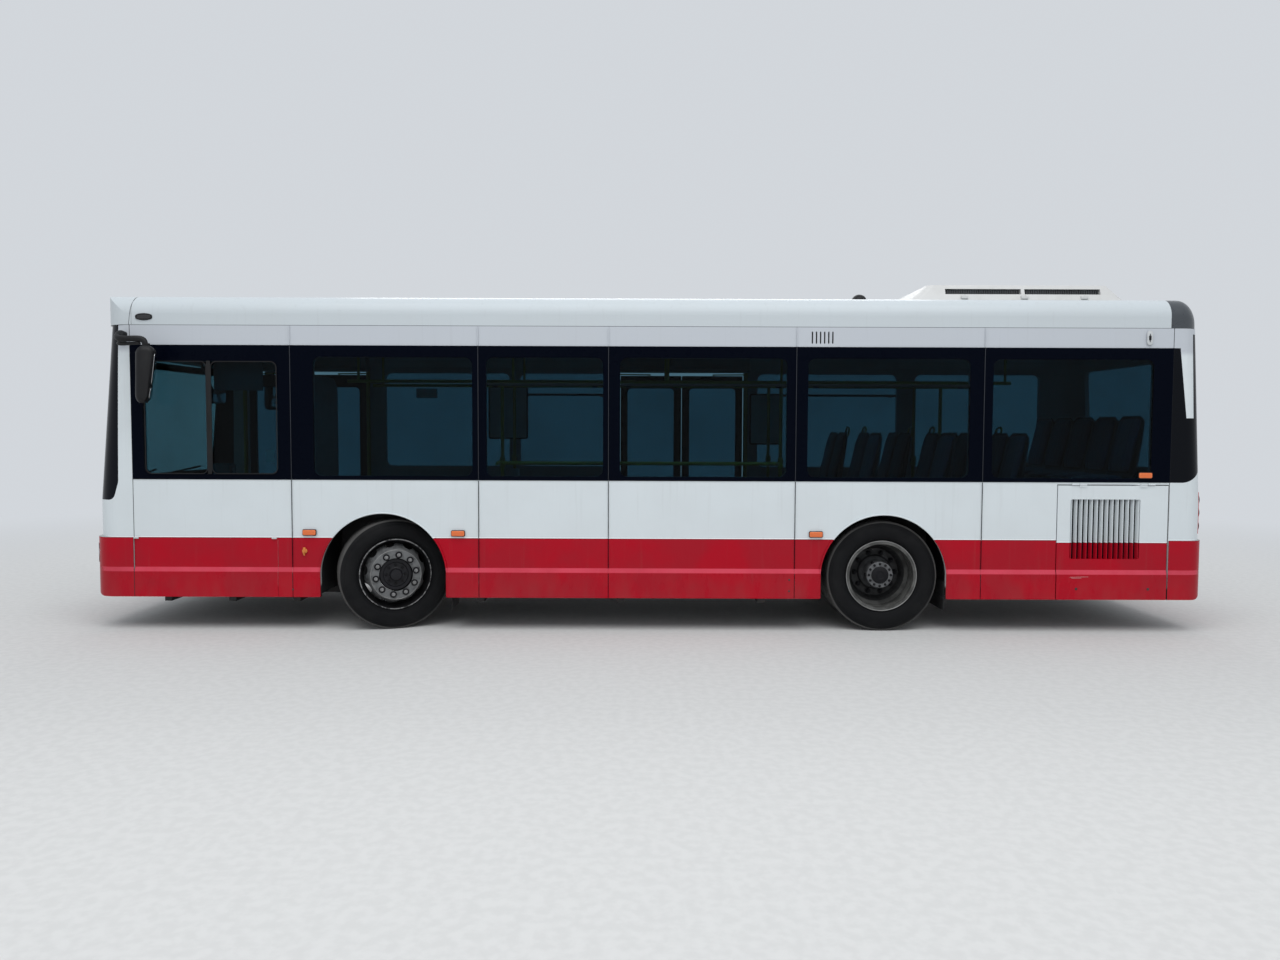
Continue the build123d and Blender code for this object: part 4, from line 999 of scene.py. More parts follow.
@dataclass
class Studio:
    """Camera at the photo's place, pale floor and soft light."""

    focal_share: float = 961 / 1280
    sensor: float = 36.0
    distance: float = 7.98
    height: float = 1.69
    along: float = 0.05
    pitch: float = 3.0
    roll: float = 0.2
    floor_colour: Colour = (0.62, 0.62, 0.61)
    floor_reach: float = 60.0
    sky_colour: Colour = (0.86, 0.9, 0.95)
    sky_strength: float = 0.75
    fade: tuple[float, float] = (6.0, 15.0)
    lamps: tuple = (("sky_lamp", (0.0, 7.0, 11.0), 14.0, 950.0), ("far_lamp", (0.0, -9.0, 9.0), 12.0, 500.0))

    def camera(self) -> None:
        """Camera level with the windows, square to the left side, a little tipped down."""
        data = bpy.data.cameras.new("camera")
        data.sensor_width, data.lens, data.clip_end = self.sensor, self.focal_share * self.sensor, 200
        thing = bpy.context.scene.camera = linked("camera", data)
        turn = Matrix.Rotation(pi, 4, "Z") @ Matrix.Rotation(radians(90 - self.pitch), 4, "X")
        turn = turn @ Matrix.Rotation(radians(self.roll), 4, "Z")
        thing.matrix_world = Matrix.Translation((self.along, BODY_Y + self.distance, self.height)) @ turn

    def floor(self) -> None:
        """Wide pale floor that fades, for the eye only, into the pale sky far behind the bus."""
        reach = self.floor_reach
        corners = [(-reach, -reach, 0), (reach, -reach, 0), (reach, reach, 0), (-reach, reach, 0)]
        mesh = bpy.data.meshes.new("floor")
        mesh.from_pydata(corners, [], [(0, 1, 2, 3)])
        g = Graph("floor")
        near = g.shader(g.mix(g.noise(18.0, 6.0), self.floor_colour, scaled(self.floor_colour, 0.94)), 0.85)
        sky = g.out("Emission", {"Color": self.sky_colour, "Strength": self.sky_strength})
        camera, glossy, clear = (g.out("LightPath", output=f"Is {ray} Ray")
                                 for ray in ("Camera", "Glossy", "Transmission"))
        away = g.step(g.axis_distance((0.0, 0.0, 0.0), (0.0, 0.0, 1.0)), *self.fade)
        shown = away * (camera | (glossy | clear))
        mesh.materials.append(g.ends(g.out("MixShader", {0: shown, 1: near, 2: sky})))
        linked("floor", mesh)

    def light(self) -> None:
        """Soft sky light from all round, and two wide lamps above the sides."""
        scene = bpy.context.scene
        scene.world = bpy.data.worlds.new("sky")
        scene.world.use_nodes = True
        sky = scene.world.node_tree.nodes["Background"]
        sky.inputs["Color"].default_value = (*self.sky_colour, 1.0)
        sky.inputs["Strength"].default_value = self.sky_strength
        for name, place, size, power in self.lamps:
            data = bpy.data.lights.new(name, "AREA")
            data.shape, data.size, data.size_y, data.energy = "RECTANGLE", size, size * 0.6, power
            aim = Vector((0, 0, 1.2)) - Vector(place)
            linked(name, data).matrix_world = (Matrix.Translation(place)
                                               @ aim.to_track_quat("-Z", "Y").to_matrix().to_4x4())
        scene.view_settings.view_transform = "Standard"

    def build(self) -> None:
        """Camera, floor and light."""
        self.camera()
        self.floor()
        self.light()


class BodyFinish(Part):
    """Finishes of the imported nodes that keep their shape."""

    def build(self) -> None:
        """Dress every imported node."""
        leaves = [f"{door}_{end}" for door in ("front_door", "centre_door") for end in ("front", "rear")]
        for finish, nodes in (
            (PAINT, "left_side_wall right_side_wall doorway_frames skirts roof_shell roof_hatches front_mask "
                    "front_bumper rear_bumper"),
            (HATCH_PAINT, "engine_hatch"), (FLAP_PAINT, "engine_side_flap"), (REAR_PAINT, "rear_wall"),
            (POD_SHELL, "air_conditioner"), (SCREEN, "windscreen"),
            (PANE, " ".join(["body_glass"] + [f"{leaf}_glass" for leaf in leaves])),
            (BLACK_TRIM, "dashboard steering_wheel destination_box"),
            (BLACK_TRIM, " ".join(f"{leaf}_leaf" for leaf in leaves)),
            (CHASSIS, "underframe front_axle rear_axle engine_block air_tanks front_left_knuckle "
                      "front_right_knuckle"),
            (RAIL_PAINT, " ".join(["handrails stanchions"] + [f"{leaf}_post" for leaf in leaves])),
            (DARK_STEEL, "exhaust"), (PANEL_GREY, "door_gear cab_partition"), (HEADLAMP_GLASS, "headlamps"),
            (LENS_RED, "tail_lamps"), (VINYL, "floor_deck podiums"), (BOX_VINYL, "wheel_boxes"),
        ):
            self.dress(finish, *nodes.split())


@dataclass
class Station:
    """One end of an axle: where its wheel stands and which way its axis points at rest."""

    name: str
    axle_x: float
    side: float
    pivot_y: float = 0.0
    steered: float = 0.0

    @property
    def matrix(self) -> Array:
        """Matrix from a wheel drawn along +Y to this station's outside."""
        return turn_matrix(Axis.Z, self.steered) @ np.diag([1.0, self.side, 1.0])

    @property
    def pivot(self) -> Point:
        """Point of the wheel's axis that the distances along it are counted from."""
        return (self.axle_x, self.side * self.pivot_y, AXLE_Z)

    @property
    def axis(self) -> Point:
        """Wheel's axis, pointing outside."""
        return tuple(self.matrix @ [0.0, 1.0, 0.0])


@dataclass
class Wheels(Part):
    """Tyres with their tread, wheel finishes, nuts, hub bolts and valves, drawn along +Y from the pivot."""

    stations: tuple[Station, ...] = (
        Station("front_left", FRONT_AXLE_X, 1.0, 0.86, 20.0),
        Station("front_right", FRONT_AXLE_X, -1.0, 0.86, 18.0),
        Station("rear_left", REAR_AXLE_X, 1.0), Station("rear_right", REAR_AXLE_X, -1.0),
    )
    tyre_radius: float = 0.465
    tread_half: float = 0.1005
    shoulder: tuple[float, float] = (0.447, 0.1215)
    groove_depth: float = 0.013
    around: int = 288
    lip_y: float = 0.1175
    edge_y: float = 0.105
    front_middle: float = 0.1325
    rear_middles: tuple[float, float] = (0.9925, 0.6825)
    rear_disc: float = 0.8515
    nut_circle: float = 0.1675
    nut_phase: float = -0.14

    def tread_depth(self, across: Array, angle: Array) -> Array:
        """Depth of the tread below its outer face.

        Four zigzag grooves run round the tyre: each is a smooth notch whose middle sways with a triangle wave
        of the angle. Short sipes cut the shoulders at an even spacing.

        Args:
            across: place across the tread, from -1 to 1.
            angle: angle round the tyre.

        Returns:
            The depth, in metres.
        """
        zigzag = 2 * np.abs(2 * ((angle * 36 / (2 * pi)) % 1) - 1) - 1
        depth = np.zeros(np.broadcast(across, angle).shape)
        for middle in (-0.6, -0.2, 0.2, 0.6):
            depth = np.maximum(depth, np.clip((0.06 - np.abs(across - middle - 0.022 * zigzag)) / 0.03, 0, 1))
        sipe = np.clip((0.1 - np.abs(((angle * 72 / (2 * pi)) % 1) - 0.5)) / 0.05, 0, 1)
        shoulder = np.clip((np.abs(across) - 0.8) / 0.06, 0, 1)
        return self.groove_depth * np.maximum(depth, 0.6 * sipe * shoulder)

    def tyre(self, middle: float) -> Surface:
        """One tyre about the Y axis.

        Its section runs from bead to bead over the bulged sidewalls, with fine ridges near the bead and the
        shoulder, and the tread, a superellipse between them. The tread's depth lowers the radius.

        Args:
            middle: distance of its middle plane along the axis.

        Returns:
            The closed tyre.
        """
        side_r = np.array([0.287, 0.304, 0.314, 0.33, 0.352, 0.378, 0.405, 0.428, 0.441, 0.447])
        side_y = np.array([0.103, 0.106, 0.118, 0.1295, 0.135, 0.1374, 0.1362, 0.1318, 0.1262, 0.1215])
        ridge_r = np.array([0.3, 0.3105, 0.3225, 0.3245, 0.3265, 0.418, 0.4205, 0.4225])
        ridge_y = np.interp(ridge_r, side_r, side_y) + [0.001, 0, 0, 0.0018, 0, 0, 0.0022, 0]
        rows = np.stack([np.concatenate([side_r, ridge_r]), np.concatenate([side_y, ridge_y])], -1)
        rows = rows[np.argsort(rows[:, 0])]
        corner, (low_r, out_y) = np.linspace(0, pi / 2, 5)[1:-1], self.shoulder
        rounding = np.stack([low_r + (self.tyre_radius - low_r) * np.sin(corner),
                             self.tread_half + (out_y - self.tread_half) * np.cos(corner)], -1)
        across = np.linspace(-1, 1, 57)
        tread = np.stack([self.tyre_radius - 0.0022 * across**2, self.tread_half * across], -1)
        half = np.vstack([rows, rounding])
        section = np.vstack([half * [1, -1], tread, half[::-1]])
        beyond = np.full(len(half), 2.0)
        place = np.concatenate([-beyond, across, beyond])[:, None]
        angle = full_turn(self.around)
        lowered = np.where(np.abs(place) <= 1, self.tread_depth(place, angle[None]), 0.0)
        rings = round_axis(section[:, :1] - lowered, section[:, 1:] + middle, angle)
        return skin(np.concatenate([rings, rings[:1]]), caps=False)

    def front_disc(self) -> Surface:
        """Dished disc of a front wheel with a scalloped edge, from the wheel's middle.

        Its section goes from the hub over the nut face and the shoulder down the cone, and back along the
        inside. The cone's end moves back towards the shoulder by a half-ellipse of the angle at each of ten
        hand holes.

        Returns:
            The closed disc.
        """
        face = np.array([(0.1385, 0.15), (0.2, 0.15), (0.207, 0.149), (0.212, 0.145), (0.2155, 0.138)])
        back = np.array([(0.204, 0.128), (0.2, 0.133), (0.195, 0.136), (0.1385, 0.136)])
        angle, pitch = full_turn(360), 2 * pi / 10
        from_hole = np.abs(((angle - self.nut_phase) / pitch) % 1 - 0.5) * pitch / 0.165
        cut = (0.62 * np.sqrt(np.maximum(1 - from_hole**2, 0)))[:, None]
        t = np.linspace(0.2, 1, 5)[:, None, None]
        outer = face[-1] + (np.array([0.253, 0.034]) - face[-1]) * t * (1 - cut)
        inner = back[0] + (np.array([0.242, 0.03]) - back[0]) * t[::-1] * (1 - cut)
        spread = np.ones((1, len(angle), 1))
        section = np.concatenate([face[:, None] * spread, outer, inner, back[:, None] * spread])[::-1]
        rings = round_axis(section[..., 0], section[..., 1], angle)
        return skin(np.concatenate([rings, rings[:1]]), caps=False)

    def front_wheel(self) -> Surface:
        """Rim with its drop centre, dished disc and hub of a front wheel."""
        lip, edge = self.lip_y, self.edge_y
        outside = np.array([(0.2985, -lip), (0.2985, -edge - 0.004), (0.287, -edge), (0.284, -0.07),
                            (0.262, -0.045)])
        inside = np.array([(0.256, -0.04), (0.272, -0.066), (0.277, -edge + 0.002), (0.29, -lip)])
        rim = np.vstack([outside, outside[::-1] * [1, -1], inside[::-1] * [1, -1], inside])
        hub = [(0.049, 0.028), (0.137, 0.028), (0.137, 0.122), (0.13, 0.13), (0.106, 0.13), (0.1, 0.12),
               (0.062, 0.118), (0.052, 0.124), (0.05, 0.156), (0.044, 0.164), (0.0, 0.165), (0.0, 0.11),
               (0.049, 0.11)]
        whole = joined([turned(rim, 96, True), self.front_disc(), turned(hub, 64, True)])
        return whole.placed((0, self.front_middle, 0))

    def front_nuts(self) -> Surface:
        """Nuts of a front wheel."""
        nuts = ringed(nut(0.012, 0.024), 10, self.nut_circle, self.nut_phase)
        return nuts.placed((0, self.front_middle + 0.156, 0))

    def front_seats(self) -> Surface:
        """Dark washers under the front nuts, and the hub's own bolts."""
        washer = turned([(0.0, -0.002), (0.0285, -0.002), (0.0285, 0.005), (0.026, 0.007), (0.0, 0.007)], 24)
        washers = ringed(washer, 10, self.nut_circle, self.nut_phase).placed((0, self.front_middle + 0.15, 0))
        bolts = ringed(nut(0.0105, 0.01), 8, 0.081).placed((0, self.front_middle + 0.118, 0))
        return joined([washers, bolts])

    def rear_nuts(self) -> Surface:
        """Nuts, hub flange bolts, hub cover and lugs of a pair of rear wheels."""
        end = self.rear_disc + 0.201
        nuts = ringed(nut(0.0185, 0.026), 10, self.nut_circle + 0.006, pi / 10).placed((0, self.rear_disc, 0))
        bolts = ringed(nut(0.0085, 0.01), 12, 0.093).placed((0, end, 0))
        cover = turned([(0.0, -0.002), (0.072, -0.002), (0.072, 0.006), (0.062, 0.012), (0.034, 0.015),
                        (0.03, 0.011), (0.0, 0.011)], 40).placed((0, end, 0))
        lugs = ringed(block((-0.01, end - 0.06, -0.012), (0.01, end - 0.006, 0.01)), 6, 0.112, pi / 6)
        return joined([nuts, bolts, cover, lugs])

    def ring(self, radius: float, y: float, thickness: float) -> Surface:
        """Rounded bright edge of a flange or a disc."""
        return looped(round_axis(radius, y, full_turn(96)), thickness, 10)

    def valve(self, middle: float, disc_y: float) -> Surface:
        """Bent valve stem that comes out of the rim beside the disc."""
        path = smooth_path([(0.0, disc_y - 0.02, 0.262), (0.0, disc_y + 0.015, 0.258),
                            (0.0, disc_y + 0.045, 0.246), (0.0, middle + 0.1, 0.236)], 6)
        return swept(path, 0.0045, 8).placed(matrix=turn_matrix(Axis.Y, 18.0))

    def build(self) -> None:
        """Dress and trim the wheels of every station."""
        for station in self.stations:
            name, place = station.name, (station.pivot, station.axis)
            front = name.startswith("front")
            end = "" if front else "s"
            middles = (self.front_middle,) if front else self.rear_middles
            edges = [self.ring(0.2945, middles[0] + 0.1125, 0.0045)]
            if front:
                steel = WheelFinish(f"{name}_steel", *place, (0.15, 0.154, 0.156), (0.008, 0.008, 0.009),
                                    (0.24, 0.24, 0.24), (0.007, 0.007, 0.009), 0.254)
                edges.append(self.ring(0.2075, self.front_middle + 0.1475, 0.0032))
            else:
                steel = WheelFinish(f"{name}_steel", *place, (0.026, 0.026, 0.027), (0.11, 0.11, 0.105),
                                    (0.12, 0.12, 0.115), (0.09, 0.092, 0.095), 0.244)
                self.dress(steel, f"{name}_wheels")
            rubber, tyres = TyreFinish(f"{name}_rubber", *place), joined(map(self.tyre, middles))
            pieces = {f"treaded_tyre{end}": (tyres, rubber, f"{name}_tyre{end}")}
            if front:
                pieces |= {"dished_wheel": (self.front_wheel(), steel, f"{name}_wheel"),
                           "nut_seats": (self.front_seats(), HUB_IRON)}
            pieces |= {"nuts": (self.front_nuts(), NUT_STEEL) if front else (self.rear_nuts(), HUB_IRON),
                       "rim_edge": (joined(edges), RIM_EDGE),
                       "valve": (self.valve(middles[0], 0.1725 if front else 0.9), DARK_STEEL)}
            for label, (surface, finish, *replaced) in pieces.items():
                self.piece(f"{name}_{label}", surface.placed(station.pivot, station.matrix), finish,
                           f"{name}_roll", slot="wheel_steel" if label == "valve" else "",
                           replaces=tuple(replaced))


@dataclass
class SideGlazing(Part):
    """Printed borders behind the flush side glass, window frames, joints, and the driver's sliding panes."""

    gap: float = 0.003
    inset: float = 0.0066
    corner: float = 0.06
    left: Rows = (
        (4.274, 2.95, 4.173, 3.058, 1.309, 2.245), (2.95, 1.394, 2.762, 1.444, 1.298, 2.282),
        (1.394, 0.313, 1.328, 0.358, 1.298, 2.282), (0.313, -1.243, 0.217, -1.167, 1.298, 2.282),
        (-1.243, -2.8, -1.341, -2.683, 1.298, 2.282), (-2.8, -4.361, -2.874, -4.2, 1.298, 2.282),
    )
    right: Rows = (
        (2.9, 1.394, 2.762, 1.444, 1.298, 2.282), (1.394, 0.33, 1.328, 0.39, 1.298, 2.282),
        (-1.11, -2.8, -1.2, -2.683, 1.298, 2.282), (-2.8, -4.361, -2.874, -4.2, 1.298, 2.282),
    )
    driver_panes: Rows = ((4.159, 3.637), (3.608, 3.058))
    driver_z: tuple[float, float] = (1.309, 2.245)
    hopper_left: tuple[int, ...] = (2, 3, 4)
    hopper_right: tuple[int, ...] = (1, 2)
    hopper_low: float = 2.06

    def borders(self, bays: Rows) -> list[Surface]:
        """Printed borders of one side's bays, on the left side's plane."""
        sheets = []
        for front, rear, clear_front, clear_rear, low, high in bays:
            x, z = (front + rear) / 2, (BELT_Z + GLASS_TOP_Z) / 2
            hole = (clear_rear - x, clear_front - x, low - z, high - z)
            sheet = print_band(front - rear - self.gap, GLASS_TOP_Z - BELT_Z - self.gap, hole, self.corner)
            sheets.append(sheet.placed((x, WALL_Y - self.inset, z)))
        return sheets

    def frames(self, bays: Rows, hoppers: tuple[int, ...]) -> list[Surface]:
        """Inner window frames behind the glass, with the bars and catches of the top-hung vents."""
        pieces, y = [], WALL_Y - self.inset - 0.024
        for k, (_, _, front, rear, low, high) in enumerate(bays):
            ring = frame_ring(front - rear, high - low, self.corner, 0.016, 0.022)
            pieces.append(ring.placed(((front + rear) / 2, y - 0.002, (low + high) / 2)))
            if k in hoppers:
                z = self.hopper_low
                pieces += [block((rear + 0.004, y, z - 0.012), (front - 0.004, y + 0.018, z + 0.012), 0.003)]
                pieces += [block((x - 0.022, y - 0.02, z - 0.022), (x + 0.022, y, z - 0.004))
                           for x in (rear + 0.07, front - 0.07)]
        return pieces

    def seams(self, bays: Rows) -> list[Surface]:
        """Sealant in the upright joints between the panes."""
        return [block((rear - 0.0025, WALL_Y - 0.007, BELT_Z + 0.004),
                      (rear + 0.0025, WALL_Y - 0.0008, GLASS_TOP_Z - 0.004), 0.001)
                for _, rear, *_ in bays[:-1]]

    def sliding_panes(self) -> list[Surface]:
        """Raised rails round the two sliding panes of the driver's window."""
        low, high = self.driver_z
        return [frame_ring(front - rear - 0.016, high - low - 0.016, 0.045, 0.008, 0.004)
                .placed(((front + rear) / 2, WALL_Y + 0.0004 - 0.001 * k, (low + high) / 2))
                for k, (front, rear) in enumerate(self.driver_panes)]

    def build(self) -> None:
        """Borders, frames and joints of both sides, and the driver's window."""
        for side, bays, hoppers in ((Side.LEFT, self.left, self.hopper_left),
                                    (Side.RIGHT, self.right, self.hopper_right)):
            for label, shapes, finish in (("print", self.borders(bays), BLACK_PRINT),
                                          ("frames", self.frames(bays, hoppers), BLACK_TRIM),
                                          ("seams", self.seams(bays), SEAM_GREY)):
                name = f"{side.name.lower()}_window_{label}"
                self.piece(name, shapes, finish, side=side, slot="dark_panel")
        self.piece("driver_window_rails", self.sliding_panes(), BLACK_TRIM, slot="dark_panel")
        low, high = self.driver_z
        divider = block((3.606, WALL_Y - 0.0002, low), (3.639, WALL_Y + 0.005, high), 0.002)
        pull = block((3.622, WALL_Y + 0.004, 1.7), (3.63, WALL_Y + 0.01, 1.86), 0.003)
        self.piece("driver_window_divider", [divider, pull], BLACK_TRIM, slot="dark_panel")


@dataclass
class SideTrim(Part):
    """Markers, arch lips, lamp, latch, a black sheet of painted shade behind the vent's slots, hinge tabs,
    lever and mud flaps.
    """

    markers: Rows = ((2.805, 0.824), (1.566, 0.82), (-1.419, 0.822), (-4.148, 1.324))
    marker_width: float = 0.108
    marker_height: float = 0.044
    arch_half: float = 0.531
    arch_radius: float = 0.5328
    latch: Point = (-4.154, WALL_Y, 2.46)
    side_lamp: Point = (4.151, 0.0, 2.607)

    def marker_lens(self) -> Surface:
        """Ribbed lens of one side marker, drawn round the origin and facing +Y."""
        lens = plate(self.marker_width, self.marker_height, 0.012, 0.01, 0.004).placed((0, 0.004, 0))
        return joined([lens] + [block((x - 0.0012, 0.015, -0.015), (x + 0.0012, 0.0174, 0.015), 0.0008)
                                for x in np.linspace(-0.04, 0.04, 9)])

    def arch_lip(self, axle_x: float) -> Surface:
        """Rolled lip of one arch.

        The path goes up the front edge, round the circle and down the rear edge, and its distance from the
        middle follows the skin from the proud lower panel to the plain upper one.

        Args:
            axle_x: place of the wheel along the bus.

        Returns:
            The lip on the left side.
        """
        spring = float(np.arccos(self.arch_half / self.arch_radius))
        angle = np.linspace(spring, pi - spring, 60)
        arc = np.stack([np.cos(angle), np.sin(angle)], -1) * self.arch_radius + [axle_x, ARCH_CENTRE_Z]
        rise = np.linspace(SKIRT_Z + 0.004, arc[0, 1], 16)[:-1]
        ahead = np.stack([np.full(len(rise), axle_x + self.arch_half), rise], -1)
        line = np.vstack([ahead, arc, ahead[::-1] - [2 * self.arch_half, 0.0]])
        y = np.interp(line[:, 1], [LEDGE_LOW_Z, LEDGE_HIGH_Z], [BODY_Y - 0.003, WALL_Y - 0.003])
        return swept(np.stack([line[:, 0], y, line[:, 1]], -1), 0.007, 8)

    def seam_fillers(self) -> list[Surface]:
        """Dark strips in the upright grooves between the side's panels, just below the skin."""
        pieces = []
        for x in PANEL_JOINTS_X:
            spans = [(WALL_Y, BAND_Z + 0.003, BELT_Z - 0.003)]
            if all(abs(x - axle) >= self.arch_half for axle in AXLES_X):
                spans += [(WALL_Y, LEDGE_HIGH_Z + 0.002, BAND_Z - 0.003),
                          (BODY_Y, SKIRT_Z + 0.002, LEDGE_LOW_Z - 0.002)]
            pieces += [block((x - 0.0028, y - 0.003, low), (x + 0.0028, y - 0.0012, high), 0.0004)
                       for y, low, high in spans]
        return pieces

    def fascia_fillers(self) -> list[Surface]:
        """Paint-coloured strips that fill the same grooves above the glass, where the fascia is one panel."""
        return [block((x - 0.0029, WALL_Y - 0.003, GLASS_TOP_Z + 0.004),
                      (x + 0.0029, WALL_Y - 0.0001, COVE_Z - 0.004), 0.0002) for x in PANEL_JOINTS_X]

    def lever(self) -> list[Surface]:
        """Small lever on a round boss, ahead of the front wheel."""
        boss = turned([(0.0, 0.0), (0.021, 0.0), (0.021, 0.01), (0.014, 0.016), (0.0, 0.018)], 24)
        path = smooth_path([(0.0, 0.016, 0.03), (0.0, 0.021, 0.01), (0.004, 0.021, -0.012),
                            (0.0, 0.014, -0.036)], 5)
        return [boss, swept(path, np.linspace(0.011, 0.007, len(path)), 10, 0.6)]

    def mud_flap(self, x: float, low_y: float, high_y: float) -> list[Surface]:
        """Rubber flap behind a wheel, its cross bar and its bracket."""
        return [block((x - 0.004, low_y, 0.17), (x + 0.004, high_y, 0.42), 0.003),
                block((x - 0.01, low_y, 0.268), (x + 0.01, high_y + 0.01, 0.292), 0.003),
                block((x - 0.07, high_y - 0.06, 0.262), (x + 0.012, high_y - 0.03, 0.282), 0.003)]

    def build(self) -> None:
        """All small outside trim of both sides."""
        base = plate(self.marker_width + 0.01, self.marker_height + 0.01, 0.005, 0.012, 0.002)
        spots = [(x, WALL_Y - 0.0005, z) for x, z in self.markers]
        for side in (Side.LEFT, Side.RIGHT):
            for label, shapes, finish in (
                ("marker_bases", [base.placed(spot) for spot in spots], BLACK_TRIM),
                ("marker_lenses", [self.marker_lens().placed(spot) for spot in spots], LENS_ORANGE),
                ("arch_lips", [self.arch_lip(x) for x in AXLES_X], LIP_PAINT),
                ("fascia_fillers", self.fascia_fillers(), LIP_PAINT),
                ("panel_seams", self.seam_fillers(), BLACK_PRINT),
            ):
                self.piece(f"{side.name.lower()}_{label}", shapes, finish, side=side)
        angle = full_turn(48)
        oval = np.stack([np.clip(0.06944 * np.cos(angle), -0.064, 0.064), 0.023 * np.sin(angle)], -1)
        rim = laid(looped(stood(oval, 0.003), 0.006), "roof_shell", self.side_lamp, Look.FROM_LEFT)
        self.piece("side_lamp_rims", rim, BLACK_TRIM, side=Side.BOTH)
        lens = plate(0.12, 0.04, 0.009, 0.019, 0.006)
        lens = laid(lens, "roof_shell", self.side_lamp, Look.FROM_LEFT, -0.001)
        self.piece("side_lamp_lenses", lens, DISPLAY, side=Side.BOTH)
        self.piece("latch_plate", plate(0.048, 0.118, 0.005, 0.0235, 0.003).placed(self.latch), FASCIA_TRIM)
        core = joined([plate(0.02, 0.044, 0.008, 0.0098, 0.002), plate(0.006, 0.07, 0.007, 0.0029, 0.001)])
        self.piece("latch_core", core.placed(self.latch), BLACK_TRIM)
        # Painted shade: a black sheet behind the vent's slots, so that they look dark.
        vent = block((-1.57, WALL_Y - 0.032, 2.395), (-1.34, WALL_Y - 0.03, 2.512), 0.0005)
        self.piece("vent_backing", vent, BLACK_PRINT)
        tabs = [block((x - 0.021, WALL_Y - 0.001, 0.768), (x + 0.021, WALL_Y + 0.005, 0.781), 0.002)
                for x in (4.252, 3.1)]
        self.piece("skirt_hinge_tabs", tabs, FASCIA_TRIM, slot="white_paint")
        edge, _ = hit("skirts", (2.849, 0.0, 0.668), Look.FROM_LEFT)
        self.piece("valve_lever", joined(self.lever()).placed(edge), LEVER_ORANGE)
        flaps = self.mud_flap(REAR_AXLE_X - 0.53, 0.56, 1.1) + self.mud_flap(FRONT_AXLE_X - 0.56, 0.8, 1.1)
        self.piece("mud_flaps", flaps, RUBBER, side=Side.BOTH)


def blank_plate(node: str, z: float, look: Look) -> Surface:
    """Blank number plate laid on a node's skin, in the middle of the bus."""
    return laid(plate(0.52, 0.12, 0.006, 0.01, 0.002), node, (0.0, 0.0, z), look)


@dataclass
class Front(Part):
    """Wipers, lamps' insides, blank plate and intake mesh of the front."""

    lamp_z: float = 0.64
    reflectors: Rows = ((0.775, 0.058), (0.905, 0.058), (1.01, 0.04))

    def wiper(self, side: float) -> tuple[Surface, Surface]:
        """Arm and blade of one wiper, laid over the windscreen.

        The blade follows points found on the screen's skin. The arm climbs from its spindle to the blade's
        middle, thinner towards its end.

        Args:
            side: 1 for the left wiper and -1 for the right one.

        Returns:
            The arm and the blade.
        """
        spindle, tip = side * 0.3 + 0.18, side * 0.42 - 0.42
        line = [hit("windscreen", (0.0, (1 - t) * (spindle - 0.1) + t * tip, 1.245 + 0.05 * t), Look.BACK)
                for t in np.linspace(0, 1, 7)]
        on_glass = np.array([place + 0.012 * normal for place, normal in line])
        start, normal = hit("windscreen", (0.0, spindle, 1.15), Look.BACK)
        middle = on_glass[3] + 0.016 * normal
        path = smooth_path([start + 0.01 * normal, start + 0.034 * normal + [0, 0, 0.02],
                            (start + middle) / 2 + 0.03 * normal, middle], 6)
        arm = swept(path, np.linspace(0.013, 0.006, len(path)), 8, 0.6)
        boss = bar(start - 0.004 * normal, start + 0.04 * normal, 0.022, 20)
        return joined([arm, boss]), swept(on_glass, 0.007, 8, 1.4)

    def lamp_x(self, y: float) -> float:
        """Place of the left headlamp's lens along the bus."""
        return float(hit("headlamps", (0.0, y, self.lamp_z), Look.BACK)[0][0])

    def bowl(self, radius: float, depth: float = 0.045) -> Surface:
        """Reflector bowl whose radius grows with the root of its depth, open towards +Y, with its bulb.

        Args:
            radius: the bowl's radius at its rim.
            depth: the bowl's depth.

        Returns:
            Bowl and bulb.
        """
        t = np.linspace(0, 1, 10)
        outer = np.stack([(radius + 0.002) * np.sqrt(t), -0.002 - depth * (1 - t)], -1)
        inner = np.stack([radius * np.sqrt(t), -depth * (1 - t)], -1)
        bulb = turned([(0.0, -depth), (0.008, -depth), (0.008, -0.4 * depth), (0.0, -0.3 * depth)], 16)
        return joined([turned(np.vstack([outer, inner[::-1]]), 40), bulb])

    def lamp_tray(self) -> Surface:
        """Dark tray behind the left headlamp's reflectors: a strip that follows the lens 46 mm behind it."""
        low, high = self.lamp_z - 0.076, self.lamp_z + 0.076
        return skin([[(x, y, high), (x + 0.004, y, high), (x + 0.004, y, low), (x, y, low)]
                     for y in np.linspace(0.708, 1.082, 9) for x in [self.lamp_x(y) - 0.046]])

    def build(self) -> None:
        """All pieces of the front."""
        arms, blades = zip(*map(self.wiper, FLANKS))
        self.piece("wiper_arms", arms, BLACK_TRIM)
        self.piece("wiper_blades", blades, RUBBER)
        ahead = turn_matrix(Axis.Z, -90.0)
        bowls = [self.bowl(radius).placed((self.lamp_x(y) - 0.014, y, self.lamp_z), ahead)
                 for y, radius in self.reflectors]
        self.piece("headlamp_reflectors", bowls, CHROME, side=Side.BOTH)
        self.piece("headlamp_trays", self.lamp_tray(), DARK_STEEL, side=Side.BOTH, slot="black_plastic")
        self.piece("front_plate", blank_plate("front_bumper", 0.6, Look.BACK), NOTICE)
        bars = [bar((4.64, -0.4, z), (4.64, 0.4, z), 0.005, 8) for z in np.linspace(0.362, 0.418, 4)]
        posts = [bar((4.646, y, 0.352), (4.646, y, 0.428), 0.004, 8) for y in np.linspace(-0.38, 0.38, 20)]
        self.piece("intake_mesh", bars + posts, BLACK_TRIM)
        # Painted shade: a black sheet just behind the intake mesh, so that its gaps look dark.
        self.piece("intake_backing", block((4.6, -0.43, 0.34), (4.604, 0.43, 0.44), 0.001), BLACK_PRINT)


